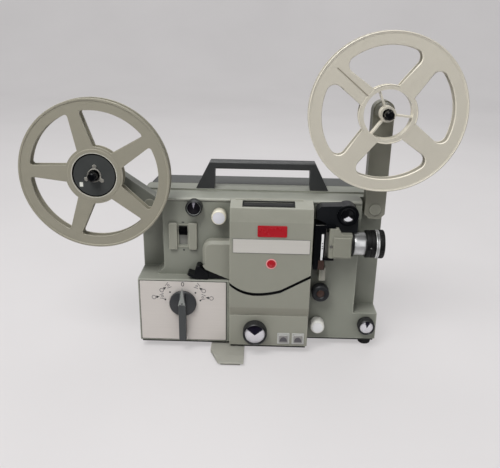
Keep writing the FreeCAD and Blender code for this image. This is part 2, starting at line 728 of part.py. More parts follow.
def feed_guide():
    """Black block that leads the film onto the feed sprocket."""
    x0 = COVER_X1 + 4.0
    fx, fz = FEED_AT
    outline = [(x0, fz - 5.5), (x0, fz + 5), (x0 + 5, fz + 10), (fx - 3, fz + 11), (fx + 8, fz + 9),
               (fx + 12.8, fz), (fx + 12.8, fz - 26.5), (fx - 4.5, fz - 26.5), (fx - 12, fz - 20.8),
               (fx - 18, fz - 20.8), (x0 + 13.5, fz - 12)]
    outline = [(x, max(z, LENS_Z + HOLDER_H / 2 + 0.5)) for x, z in outline]
    block = prism_xz(outline, FRONT - 19, FRONT)
    rail = box(fx - 22.6, HOLDER_X0 + HOLDER_STEP_W, FRONT - 20, FRONT + 1, 0,
               LENS_Z + HOLDER_H / 2 + HOLDER_STEP_H + 1.5)
    rim = rod_y(FEED_AT, 12.8, FRONT - 21, FRONT)
    return fuse(block.cut(rail), rim).cut(rod_y(FEED_AT, 8.3, FRONT - 30, FRONT + 1))


def feed_sprocket():
    """Feed sprocket with its chrome cap, shaft and belt pulley."""
    body = turned_y(FEED_AT, [(0, FRONT - 24), (5.5, FRONT - 24), (7.8, FRONT - 22.2), (7.8, FRONT - 19),
                              (6, FRONT - 18), (6, FRONT - 10), (7.8, FRONT - 9), (7.8, FRONT - 0.5),
                              (SHAFT_R, FRONT - 0.5), (SHAFT_R, CHASSIS_Y + 5), (0, CHASSIS_Y + 5)])
    return fuse(body, sprocket_pulley(FEED_AT))


def sprocket_pulley(at):
    """Small pulley of the sprocket drive."""
    y0 = FRONT + SPROCKET_PULLEY_IN
    return rod_y(at, SMALL_PULLEY_R, y0, y0 + SPROCKET_PULLEY_W)


def lower_sprocket():
    """Lower sprocket behind its dark hand knob."""
    body = turned_y(LOWER_AT, [(0, FRONT - ROLLER_H + 2), (4.5, FRONT - ROLLER_H + 2), (5.5, FRONT - ROLLER_H),
                               (9.5, FRONT - ROLLER_H), (ROLLER_R, FRONT - ROLLER_H + 1.5),
                               (ROLLER_R, FRONT - 5), (8, FRONT - 4), (8, FRONT - 0.5),
                               (SHAFT_R, FRONT - 0.5), (SHAFT_R, CHASSIS_Y + 5), (0, CHASSIS_Y + 5)])
    return fuse(body, sprocket_pulley(LOWER_AT))


def sprocket_belt():
    """Belt from the main shaft to both sprockets."""
    y0 = FRONT + SPROCKET_PULLEY_IN + (SPROCKET_PULLEY_W - BELT_W) / 2
    return belt([LOWER_AT, FEED_AT, MAIN_AT], [SMALL_PULLEY_R] * 3, y0, y0 + BELT_W)


def gate_ears():
    """Heights of the two hinge ears of the gate, as (z0, z1) pairs."""
    low = LENS_Z - HOLDER_H / 2 - GAP
    high = LENS_Z + HOLDER_H / 2 + HOLDER_STEP_H + GAP
    return [(low - 3, low), (high, high + 3)]


def hinge_at():
    """Axis of the lens holder's hinge, as (x, y)."""
    return (HOLDER_X0 + 3.5, FRONT - HOLDER_OUT + 3.5)


def gate_block():
    """Dark film gate with the hinge ears and the hinge pin of the lens holder."""
    body = box(GATE_X0, GATE_X1, FRONT - GATE_OUT, FRONT, LENS_Z - GATE_DOWN, LENS_Z + GATE_UP)
    ears = []
    hx, hy = hinge_at()
    for z0, z1 in gate_ears():
        ears.append(box(GATE_X1 - 3, hx + 3.5, hy - 3, hy + 3.5, z0, z1))
    pin = rod_z(hx, hy, 1.5, gate_ears()[0][0], gate_ears()[1][1])
    light = rod_x(FILM_Y, LENS_Z, APERTURE_R, GATE_X0 - 1, GATE_X1 + 1)
    pocket = claw_room(0.4, 6.0)
    return fuse(body, pin, *ears).cut([light, pocket])


def claw_room(slack, travel):
    """Block that the claw needs, grown by slack and lengthened for its stroke."""
    x1 = GATE_X1 + 0.5
    z = LENS_Z - 16
    stem = box(GATE_X1 - 7 - slack, x1, FILM_Y - 1.5 - slack, FILM_Y + 1.5 + slack,
               z - 1 - travel / 2, z + 1 + travel / 2)
    bar = box(GATE_X1 - 10 - slack, GATE_X1 - 6, FILM_Y - 1.5 - slack, FRONT - GAP + slack,
              z - 5 - travel / 2, z + 5 + travel / 2)
    return fuse(stem, bar)


def film_claw():
    """Claw that pulls the film down one frame."""
    return claw_room(0, 0)


def film_chute():
    """Pale chute under the gate that leads the film to the lower sprocket."""
    x1 = GATE_X1 + 3
    top = LENS_Z - GATE_DOWN
    block = box(x1 - CHUTE_W, x1, FRONT - CHUTE_OUT, FRONT, top - CHUTE_H, top)
    return block.cut(box(GATE_X1, GATE_X1 + FILM_CHANNEL, FRONT - CHUTE_OUT - 1, FRONT - 8,
                         top - CHUTE_H - 1, top + 1))


def lens_holder():
    """Pale block that carries the lens and swings out on the gate hinge."""
    half = HOLDER_H / 2
    crown = LENS_Z + half + HOLDER_STEP_H
    step = HOLDER_X0 + HOLDER_STEP_W
    y0, y1 = FRONT - HOLDER_OUT, FRONT - 1
    low = box(HOLDER_X0, HOLDER_X1, y0, y1, LENS_Z - half, LENS_Z + half)
    high = prism_xz([(HOLDER_X0, LENS_Z), (step + 4.5, LENS_Z), (step + 4.5, LENS_Z + half), (step, crown),
                     (HOLDER_X0, crown)], y0, y0 + HOLDER_STEP_T)
    block = fuse(low, high)
    block = rounded(block, 3.2, ALONG_Z, lambda m: m.x < HOLDER_X0 + 1 and m.y < y0 + 1)
    hx, hy = hinge_at()
    cuts = [rod_z(hx, hy, 1.5 + RUN, BASE, TOP)]
    cuts.append(rod_x(FILM_Y, LENS_Z, TUBE_R, HOLDER_X0 + 8, HOLDER_X1 + 1))
    cuts.append(rod_x(FILM_Y, LENS_Z, APERTURE_R, HOLDER_X0 - 1, HOLDER_X0 + 9))
    return block.cut(cuts)


def pressure_plate():
    """Plate on the lens holder that presses the film flat."""
    x0 = HOLDER_X0 - PRESSURE_T
    half = HOLDER_H / 2
    plate = box(x0, HOLDER_X0, FRONT - 19.5, FRONT - 5, LENS_Z - half, LENS_Z + half)
    return plate.cut(rod_x(FILM_Y, LENS_Z, 3.5, x0 - 1, HOLDER_X0 + 1))


def lens_stations():
    """Places along the lens: sleeve start, zoom ring start, collar start, focus ring start."""
    sleeve = HOLDER_X1 + GAP
    zoom = sleeve + SLEEVE_L
    collar = zoom + ZOOM_L
    return sleeve, zoom, collar, collar + COLLAR_L


def lens_barrel():
    """Fixed lens tube with its chrome sleeve and front collar."""
    sleeve, zoom, collar, focus = lens_stations()
    return turned_x(FILM_Y, LENS_Z, [
        (HOLDER_X0 + 8, 7.5), (HOLDER_X0 + 8, TUBE_R), (HOLDER_X1, TUBE_R), (HOLDER_X1, SLEEVE_R - 1),
        (sleeve + 3.6, SLEEVE_R - 1), (sleeve + 4, SLEEVE_R), (zoom - GAP, SLEEVE_R), (zoom - GAP, 12),
        (collar + GAP, 12), (collar + GAP, COLLAR_R), (focus - GAP, COLLAR_R), (focus - GAP, 10),
        (HOLDER_X1 + 2, 10), (HOLDER_X1 + 2, 7.5)])


def zoom_ring():
    """Knurled ring that sets the picture size."""
    zoom, collar = lens_stations()[1:3]
    return turned_x(FILM_Y, LENS_Z, [(zoom, 12 + RUN), (zoom, ZOOM_R - 0.8), (zoom + 0.8, ZOOM_R),
                                     (collar - 0.8, ZOOM_R), (collar, ZOOM_R - 0.8), (collar, 12 + RUN)])


def focus_tube():
    """Front tube that slides in the barrel and carries the front glass."""
    focus = lens_stations()[3]
    return turned_x(FILM_Y, LENS_Z, [
        (focus - 18, 8.4), (focus - 18, 10 - RUN), (focus + 0.4, 10 - RUN), (focus + 0.4, 14), (focus + FOCUS_L - 1, 14),
        (focus + FOCUS_L - 1, FRONT_GLASS_R), (focus + 1.8, FRONT_GLASS_R), (focus + 1.8, 8.4)])


def front_lens():
    """Front glass."""
    x = lens_stations()[3] + 3.0
    r = FRONT_GLASS_R
    return turned_x(FILM_Y, LENS_Z, [(x - 1, 0), (x, r * 0.6), (x + 0.5, r), (x + 2.5, r), (x + 3.2, r * 0.6),
                                     (x + 3.8, 0)])


def focus_ring():
    """Black ring that turns to focus."""
    x = lens_stations()[3]
    return turned_x(FILM_Y, LENS_Z, [(x, 14 + RUN), (x, FOCUS_R - 0.6), (x + 0.6, FOCUS_R),
                                     (x + FOCUS_L - 0.8, FOCUS_R), (x + FOCUS_L, FOCUS_R - 0.8),
                                     (x + FOCUS_L, 14 + RUN)])


def small_knob(at, face_y, radius, height, shaft_end):
    """Turned knob with a dished face and a shaft that reaches inwards."""
    y0 = face_y - 0.5 - height
    return turned_y(at, [(0, y0 + 1), (radius * 0.68, y0 + 1), (radius * 0.74, y0), (radius - 1, y0),
                         (radius, y0 + 1), (radius, face_y - 0.5), (SHAFT_R, face_y - 0.5),
                         (SHAFT_R, shaft_end), (0, shaft_end)])


def domed_knob(at, face_y, radius, height, shaft_end):
    """White knob with a rounded front."""
    y0 = face_y - 0.5 - height
    return turned_y(at, [(0, y0), (radius * 0.62, y0 + 0.3), (radius * 0.84, y0 + 1.4), (radius * 0.96, y0 + 3.2),
                         (radius, y0 + 5.5), (radius, face_y - 0.5), (SHAFT_R, face_y - 0.5),
                         (SHAFT_R, shaft_end), (0, shaft_end)])


def function_knob():
    """Main switch: a disc with a raised bar and a long lever."""
    face = FRONT - BLOCK_OUT - PANEL_T
    x, z = FUNCTION_AT
    disc = turned_y(FUNCTION_AT, [(0, face - FUNCTION_H), (FUNCTION_R - 2, face - FUNCTION_H),
                                  (FUNCTION_R, face - FUNCTION_H + 1.5), (FUNCTION_R, face - 0.5),
                                  (SHAFT_R, face - 0.5), (SHAFT_R, face + 14), (0, face + 14)])
    half = LEVER_W / 2
    low, high = BASE + LEVER_END, z + FUNCTION_R - 1
    bar = prism_xz([(x - half, low), (x + half, low), (x + half, z), (x + 2.2, high), (x - 2.2, high),
                    (x - half, z)], face - FUNCTION_H - LEVER_H, face - FUNCTION_H + 2)
    bar = rounded(bar, 2.0, ALONG_X, lambda m: m.y < face - FUNCTION_H - 1)
    return fuse(disc, bar)


def switch_guard():
    """Frame with two raised guards beside the slide switch."""
    x, z = SWITCH_AT
    half_w, half_h = SWITCH_W / 2, SWITCH_H / 2
    plate = box(x - half_w, x + half_w, FRONT - SWITCH_T, FRONT, z - half_h, z + half_h)
    plate = rounded(plate, 1.5, ALONG_Z, lambda m: m.y < FRONT - 1)
    channel = box(x - 7.4, x + 7.4, FRONT - SWITCH_T - 1, FRONT - SWITCH_T + 2.2, z - half_h - 1, z + half_h + 1)
    slot = box(x - SWITCH_SLOT_W / 2, x + SWITCH_SLOT_W / 2, FRONT - SWITCH_T - 1, FRONT + 1,
               z - SWITCH_SLOT_H / 2, z + SWITCH_SLOT_H / 2)
    return plate.cut([channel, slot])


def slide_switch():
    """Black slider with a wide foot behind the wall."""
    x, z = SWITCH_AT
    top = z + SWITCH_SLOT_H / 2 - 0.4
    half = SWITCH_SLOT_W / 2 - 0.2
    slider = box(x - half, x + half, FRONT - SWITCH_T + 0.6, FRONT + WALL + 2, top - SLIDER_H, top)
    foot = box(x - half - 3, x + half + 3, FRONT + WALL + 0.2, FRONT + WALL + 2, top - SLIDER_H - 3, top + 3)
    ridge = box(x - half, x + half, FRONT - SWITCH_T - 0.6, FRONT - 1, top - SLIDER_H / 2 - 1.5,
                top - SLIDER_H / 2 + 1.5)
    return fuse(slider, foot, ridge)


def push_key(at):
    """Square key with a retaining flange behind the cover."""
    x, z = at
    y0 = FRONT - LOWER_COVER_OUT - KEY_OUT
    inner = FRONT - LOWER_COVER_OUT + COVER_WALL
    cap = box(x - KEY_W / 2, x + KEY_W / 2, y0, inner + 6, z - KEY_H / 2, z + KEY_H / 2)
    cap = rounded(cap, 1.5, ALONG_X, lambda m: m.y < y0 + 0.1)
    flange = box(x - KEY_W / 2 - 1.2, x + KEY_W / 2 + 1.2, inner + 0.1, inner + 2, z - KEY_H / 2 - 1.2,
                 z + KEY_H / 2 + 1.2)
    return fuse(cap, flange)


def volume_knob():
    """Large knob with a dished front."""
    return small_knob(VOLUME_AT, FRONT - LOWER_COVER_OUT, VOLUME_R, VOLUME_H, FRONT + WALL + 4)


def arm_pins():
    """Fixed pins that the two arms turn on."""
    pins = []
    for at in (FRONT_PIVOT, REAR_PIVOT):
        shaft = rod_y(at, PIN_R, ARM_Y0 - 1, CHASSIS_Y)
        head = rod_y(at, 7.2, ARM_Y0 - 1.6, ARM_Y0 - 0.1)
        collar = rod_y(at, 8.0, ARM_Y1 + 0.1, FRONT + RECESS_D)
        pins.append(fuse(shaft, head, collar))
    return Part.makeCompound(pins)


def arm(pivot, length, angle):
    """Reel arm turned by an angle about its pivot, with a boss for the spindle."""
    half = ARM_W / 2
    x, z = pivot
    body = box(x - half, x + half, ARM_Y0, ARM_Y1, z - ARM_FOOT, z + length)
    body = chamfered(body, ARM_FOOT_CUT, ALONG_Y, lambda m: m.z < z)
    body = rounded(body, EDGE_R / 2, ALONG_Z, lambda m: m.y < ARM_Y0 + 1)
    axle = (x, z + length)
    end = rod_y(axle, half, ARM_Y0, ARM_Y1)
    boss = turned_y(axle, [(0, ARM_Y0 + 1), (11, ARM_Y0 + 1), (11, ARM_Y0 - 2), (8, FRONT - 6), (0, FRONT - 6)])
    shape = fuse(body, end, boss)
    shape = shape.cut([rod_y(pivot, PIN_R + RUN, ARM_Y0 - 1, ARM_Y1 + 1), shaft_hole(axle, FRONT - 7, ARM_Y1 - 2)])
    shape.rotate(Vector(x, 0, z), ALONG_Y, angle)
    return shape


def spindle(axle):
    """Reel spindle with three fins."""
    body = turned_y(axle, [(0, FRONT - SPINDLE_TIP), (SPINDLE_R - 1.5, FRONT - SPINDLE_TIP),
                           (SPINDLE_R, FRONT - SPINDLE_TIP + 1.5), (SPINDLE_R, FRONT - REEL_BACK + 0.2),
                           (9, FRONT - REEL_BACK + 0.2), (9, FRONT - 6.2), (SHAFT_R, FRONT - 6.2),
                           (SHAFT_R, ARM_Y1 - 3), (0, ARM_Y1 - 3)])
    fins = []
    for i in range(3):
        fin = box(axle[0], axle[0] + FIN_REACH, FRONT - SPINDLE_TIP + 3, FRONT - REEL_BACK + 1,
                  axle[1] - 0.8, axle[1] + 0.8)
        fin.rotate(Vector(axle[0], 0, axle[1]), ALONG_Y, 30 + i * 120)
        fins.append(fin)
    return fuse(body, *fins)


def reel_window(axle, low_angle, step, inner, outer, width_in, width_out, fillet):
    """One opening between two spokes, through both flanges."""
    def rim(radius, angle):
        return Vector(axle[0] + radius * math.cos(angle), REEL_Y0 - 1, axle[1] + radius * math.sin(angle))

    a = math.radians(low_angle)
    b = math.radians(low_angle + step)
    off_in = math.asin(width_in / 2 / inner)
    off_out = math.asin(width_out / 2 / outer)
    p1, p2 = rim(inner, a + off_in), rim(outer, a + off_out)
    p3, p4 = rim(outer, b - off_out), rim(inner, b - off_in)
    middle = (a + b) / 2
    edges = [Part.LineSegment(p1, p2).toShape(), Part.Arc(p2, rim(outer, middle), p3).toShape(),
             Part.LineSegment(p3, p4).toShape(), Part.Arc(p4, rim(inner, middle), p1).toShape()]
    hole = Part.Face(Part.Wire(edges)).extrude(Vector(0, REEL_W + 2, 0))
    outer_edges = []
    for edge in edges_along(hole, ALONG_Y, lambda m: True):
        point = edge.CenterOfMass
        if math.hypot(point.x - axle[0], point.z - axle[1]) > (inner + outer) / 2:
            outer_edges.append(edge)
    return hole.makeFillet(fillet, outer_edges)


def reel_flanges(axle):
    """Two flanges with thicker rims."""
    side = [rod_y(axle, REEL_R, REEL_Y0 + 0.4, REEL_Y0 + 0.4 + FLANGE_T),
            rod_y(axle, REEL_R, REEL_Y1 - 0.4 - FLANGE_T, REEL_Y1 - 0.4)]
    for y0, y1 in ((REEL_Y0, REEL_Y0 + RIM_T), (REEL_Y1 - RIM_T, REEL_Y1)):
        side.append(ring_y(axle, REEL_R, REEL_R - RIM_W, y0, y1))
    return side


def front_reel():
    """Cream reel: four rounded windows and an open centre with three webs."""
    hub = ring_y(FRONT_AXLE, FRONT_HUB_R, FRONT_HUB_R - FRONT_HUB_WALL, REEL_Y0, REEL_Y1)
    disc = fuse(*reel_flanges(FRONT_AXLE))
    disc = disc.cut(rod_y(FRONT_AXLE, FRONT_HUB_R - FRONT_HUB_WALL, REEL_Y0 - 1, REEL_Y1 + 1))
    nave = rod_y(FRONT_AXLE, 9.0, REEL_Y0 + 1, REEL_Y1)
    webs = []
    for i in range(3):
        web = box(FRONT_AXLE[0], FRONT_AXLE[0] + FRONT_HUB_R - 1, REEL_Y0 + 2, REEL_Y1 - 2,
                  FRONT_AXLE[1] - 1, FRONT_AXLE[1] + 1)
        web.rotate(Vector(FRONT_AXLE[0], 0, FRONT_AXLE[1]), ALONG_Y, 6 + i * 120)
        webs.append(web)
    windows = [reel_window(FRONT_AXLE, FRONT_REEL_TURN + i * 90, 90, FRONT_HUB_R + 1, FRONT_WINDOW_R,
                           FRONT_SPOKE_W, FRONT_SPOKE_OUT, FRONT_WINDOW_FILLET) for i in range(4)]
    bore = rod_y(FRONT_AXLE, REEL_BORE_R, REEL_Y0 - 1, REEL_Y1 + 1)
    return fuse(hub, disc, nave, *webs).cut(windows + [bore])


def rear_reel():
    """Khaki reel: five tapered spokes and a ring that holds the core."""
    ring = ring_y(REAR_AXLE, REAR_HUB_R, REAR_CORE_R, REEL_Y0, REEL_Y1)
    disc = fuse(*reel_flanges(REAR_AXLE))
    disc = disc.cut(rod_y(REAR_AXLE, REAR_CORE_R, REEL_Y0 - 1, REEL_Y1 + 1))
    windows = [reel_window(REAR_AXLE, 33 + i * 72, 72, REAR_WINDOW_IN, REAR_WINDOW_R, REAR_SPOKE_IN,
                           REAR_SPOKE_OUT, REAR_WINDOW_FILLET) for i in range(5)]
    return fuse(ring, disc).cut(windows)


def rear_reel_core():
    """Dark centre of the khaki reel, with three notches round its bore."""
    core = rod_y(REAR_AXLE, REAR_CORE_R, REEL_Y0 + 1, REEL_Y1)
    cuts = [rod_y(REAR_AXLE, REEL_BORE_R, REEL_Y0 - 1, REEL_Y1 + 1)]
    for i in range(3):
        notch = box(REAR_AXLE[0], REAR_AXLE[0] + 10, REEL_Y0, REEL_Y0 + 7, REAR_AXLE[1] - 1.3, REAR_AXLE[1] + 1.3)
        notch.rotate(Vector(REAR_AXLE[0], 0, REAR_AXLE[1]), ALONG_Y, 30 + i * 120)
        cuts.append(notch)
    return core.cut(cuts)


def support_foot():
    """Plate that swings out in front to steady the machine."""
    x, y = LEFT + SUPPORT_X, FRONT + SUPPORT_PIVOT_Y
    half = SUPPORT_W / 2
    top = FOOT_H - 0.5
    low = top - SUPPORT_T
    plate = prism_xy([(x - half, y + 10), (x - half, y - SUPPORT_REACH + 26), (x - half + 11, y - SUPPORT_REACH),
                      (x + half, y - SUPPORT_REACH), (x + half, y + 10)], low, top)
    tip = y - SUPPORT_REACH
    slope = prism_yz([(tip - 1, top + 1), (tip + 12, top + 1), (tip + 12, top), (tip - 1, low + 1)],
                     x - half - 1, x + half + 1)
    pad = box(x - half + 14, x + half - 4, tip + 3, tip + 15, 0, low)
    stud = rod_z(x, y, SHAFT_R, top - 1, BASE + 2)
    head = rod_z(x, y, 6.0, BASE + 0.1, BASE + 2)
    return fuse(plate.cut(slope), pad, stud, head)


def motor_stator():
    """Motor housing with end plates and a foot on the base plate."""
    y0 = FRONT + MOTOR_IN
    y1 = y0 + MOTOR_L
    x, z = MOTOR_AT
    half = MOTOR_FOOT_W / 2
    foot = box(x - half, x + half, y0 + MOTOR_END_T, y1 - MOTOR_END_T, BASE, z - ROTOR_R - 1)
    case = fuse(rod_y(MOTOR_AT, MOTOR_R, y0, y1), foot)
    room = rod_y(MOTOR_AT, ROTOR_R + 0.6, y0 + MOTOR_END_T, y1 - MOTOR_END_T)
    return case.cut([room, shaft_hole(MOTOR_AT, y0 - 1, y1 + 1)])


def motor_rotor():
    """Rotor on its shaft, with the belt pulley in front and the fan wheel behind."""
    y0 = FRONT + MOTOR_IN
    y1 = y0 + MOTOR_L
    x, z = MOTOR_AT
    core = rod_y(MOTOR_AT, ROTOR_R, y0 + 2 * MOTOR_END_T, y1 - 2 * MOTOR_END_T)
    shaft = rod_y(MOTOR_AT, SHAFT_R, FRONT + PULLEY_IN - 2, BACK - 2 * WALL)
    pulley = rod_y(MOTOR_AT, MOTOR_PULLEY_R, FRONT + PULLEY_IN, FRONT + PULLEY_IN + PULLEY_W)
    blades = []
    blade_count = 8
    for i in range(blade_count):
        blade = box(x + SHAFT_R - 1, x + FAN_R, y1 + 1, BACK - 2 * WALL, z - 0.6, z + 0.6)
        blade.rotate(Vector(x, 0, z), ALONG_Y, i * 360 / blade_count)
        blades.append(blade)
    disc = rod_y(MOTOR_AT, FAN_R, y1 + 1, y1 + 2)
    return fuse(core, shaft, pulley, disc, *blades)


def drive_belt():
    """Belt from the motor to the main shaft."""
    y0 = FRONT + PULLEY_IN + (PULLEY_W - BELT_W) / 2
    return belt([MOTOR_AT, MAIN_AT], [MOTOR_PULLEY_R, MAIN_PULLEY_R], y0, y0 + BELT_W)


def main_shaft():
    """Main shaft: skew gear, small pulley for the sprockets, large pulley for the motor belt."""
    y0, y1 = SHUTTER_Y - GEAR_W / 2, SHUTTER_Y + GEAR_W / 2
    wheel_end = FRONT + PULLEY_IN + PULLEY_W
    shaft = rod_y(MAIN_AT, SHAFT_R, y0, wheel_end + SHAFT_R)
    gear = rod_y(MAIN_AT, MAIN_GEAR_R, y0, y1)
    wheel = rod_y(MAIN_AT, MAIN_PULLEY_R, FRONT + PULLEY_IN, wheel_end)
    return fuse(shaft, gear, sprocket_pulley(MAIN_AT), wheel)


def light_shutter():
    """Three-bladed shutter on its cross shaft, with a skew gear."""
    x = SHUTTER_X
    nave = rod_x(SHUTTER_Y, LENS_Z, 9, x, x + SHUTTER_T)
    blades = []
    for i in range(3):
        wide = [(SHUTTER_Y, LENS_Z)]
        for turn in (-30, -15, 0, 15, 30):
            angle = math.radians(turn + i * 120)
            wide.append((SHUTTER_Y - SHUTTER_R * math.cos(angle), LENS_Z + SHUTTER_R * math.sin(angle)))
        blades.append(prism_yz(wide, x, x + SHUTTER_T))
    x0, x1 = MAIN_AT[0] - GEAR_W / 2, MAIN_AT[0] + GEAR_W / 2
    shaft = rod_x(SHUTTER_Y, LENS_Z, SHUTTER_SHAFT_R, x - 10, x1)
    gear = rod_x(SHUTTER_Y, LENS_Z, SHUTTER_GEAR_R, x0, x1)
    return fuse(nave, shaft, gear, *blades)


def sound_flywheel():
    """Sound drum in front of the wall, on one shaft with its flywheel."""
    drum_y = FRONT - DRUM_OUT
    wheel_y = FRONT + FLYWHEEL_IN
    return turned_y(DRUM_AT, [(0, drum_y), (DRUM_R, drum_y), (DRUM_R, drum_y + DRUM_W), (SHAFT_R, drum_y + DRUM_W),
                              (SHAFT_R, wheel_y), (FLYWHEEL_R, wheel_y), (FLYWHEEL_R, wheel_y + FLYWHEEL_W),
                              (SHAFT_R, wheel_y + FLYWHEEL_W), (SHAFT_R, CHASSIS_Y + 5), (0, CHASSIS_Y + 5)])


def sound_head():
    """Magnetic head beside the sound drum."""
    x = DRUM_AT[0] + DRUM_R + 0.5
    half = HEAD_W / 2
    return box(x, x + HEAD_W, FRONT - DRUM_OUT, FRONT, DRUM_AT[1] - half, DRUM_AT[1] + half)


def lamp_reflector():
    """Bowl reflector that faces the operator's side."""
    y0 = FRONT + WALL + 2
    r = REFLECTOR_R
    return turned_y(LAMP_AT, [(r, y0), (r - 2, y0 + 8), (r - 7, y0 + 15), (8, y0 + 20), (7, CHASSIS_Y - 1),
                              (6, CHASSIS_Y - 1), (6, y0 + 18.5), (r - 8, y0 + 13.5), (r - 3.5, y0 + 7.5),
                              (r - 1.5, y0)])


def lamp_bulb():
    """Halogen capsule in its base, which plugs into the chassis."""
    y1 = CHASSIS_Y
    y0 = y1 - LAMP_L
    return turned_y(LAMP_AT, [(0, y0), (3, y0 + 1), (4.5, y0 + 4), (4.5, y1 - 8), (6, y1 - 8), (6, y1), (0, y1)])


def fold_mirror():
    """Bracket with a mirror at 45 degrees that turns the light towards the gate."""
    x = LAMP_AT[0]
    half = MIRROR_W / 2
    mirror = box(x - half, x + half, FILM_Y - 0.75, FILM_Y + 0.75, LENS_Z - half, LENS_Z + half)
    mirror.rotate(Vector(x, FILM_Y, 0), ALONG_Z, 45)
    shelf_z = LENS_Z - REFLECTOR_R - 3
    shelf = box(x - 8, x + 8, FILM_Y - 6, CHASSIS_Y, shelf_z, shelf_z + 1.5)
    post = box(x - 2, x + 1, FILM_Y - 1, FILM_Y + 1.5, shelf_z, LENS_Z - half + 2)
    return fuse(mirror, shelf, post)


def transformer():
    """Mains transformer on the base plate."""
    x0 = LEFT + TRANSFORMER_LEFT
    x1 = x0 + TRANSFORMER_W
    y0 = BACK - WALL - TRANSFORMER_D - 28
    y1 = y0 + TRANSFORMER_D
    core = box(x0, x1, y0, y1, BASE, BASE + TRANSFORMER_H)
    coil = box(x0 + COIL_INSET, x1 - COIL_INSET, y0 - COIL_GROW, y1 + COIL_GROW, BASE + COIL_INSET,
               BASE + TRANSFORMER_H - COIL_INSET)
    return fuse(core, rounded(coil, COIL_GROW / 2, ALONG_X))


def amplifier_board():
    """Amplifier board on four posts, with its larger parts."""
    x0 = LEFT + BOARD_LEFT
    x1 = x0 + BOARD_W
    z1 = TOP - BOARD_DROP
    z0 = z1 - BOARD_H
    back = CHASSIS_Y + PLATE_T
    face = back + BOARD_POST
    parts = [box(x0, x1, face, face + BOARD_T, z0, z1)]
    for x in (x0 + BOARD_EDGE, x1 - BOARD_EDGE):
        for z in (z0 + BOARD_EDGE, z1 - BOARD_EDGE):
            parts.append(rod_y((x, z), BOARD_EDGE / 2, back, face + BOARD_T / 2))
    for i in range(3):
        at = (x0 + (i + 1) * CAPACITOR_PITCH, z0 + CAPACITOR_PITCH)
        parts.append(rod_y(at, CAPACITOR_R, face + BOARD_T / 2, face + BOARD_T + CAPACITOR_H))
    middle = (x0 + x1) / 2
    shelf = z1 - CAPACITOR_PITCH
    parts.append(box(middle - HEATSINK_W / 2, middle + HEATSINK_W / 2, face + BOARD_T / 2,
                     face + BOARD_T + HEATSINK_D, shelf - HEATSINK_H, shelf))
    return fuse(*parts)


def loudspeaker():
    """Loudspeaker behind the grille."""
    y1 = BACK - WALL
    y0 = y1 - SPEAKER_D
    r = SPEAKER_R
    return turned_y(SPEAKER_AT, [(r, y1), (r, y1 - 2), (r - 4, y1 - 3), (MAGNET_R, y0 + 12), (MAGNET_R, y0), (0, y0),
                                 (0, y0 + 18), (MAGNET_R - 6, y0 + 16), (r - 5, y1)])


def socket_panel():
    """Plate with a mains inlet and two round sockets, behind the rear window."""
    x, z = SOCKETS_AT
    y1 = BACK - WALL
    half_w = SOCKET_WINDOW_W / 2 + SOCKET_FRAME
    half_h = SOCKET_WINDOW_H / 2 + SOCKET_FRAME
    plate = box(x - half_w, x + half_w, y1 - 2, y1, z - half_h, z + half_h)
    inlet = x + 24
    floor = y1 - INLET_D
    wide, high, wall = INLET_W / 2, INLET_H / 2, INLET_WALL
    shells = [plate, box(inlet - wide - wall, inlet + wide + wall, floor - wall, y1, z - high - wall, z + high + wall)]
    cuts = [box(inlet - wide, inlet + wide, floor, y1 + 1, z - high, z + high)]
    pins = [rod_y((inlet + side * 5, z), 1.5, floor - 1, y1 - 3) for side in (-1, 1)]
    for at in socket_places():
        shells.append(rod_y(at, SOCKET_R + 1.6, y1 - SOCKET_DEPTH - 1.5, y1))
        cuts.append(rod_y(at, SOCKET_R, y1 - SOCKET_DEPTH, y1 + 1))
    return fuse(fuse(*shells).cut(cuts), *pins)


def socket_places():
    """Centres of the two round sockets, as (x, z)."""
    x, z = SOCKETS_AT
    return [(x - 28, z), (x - 6, z)]


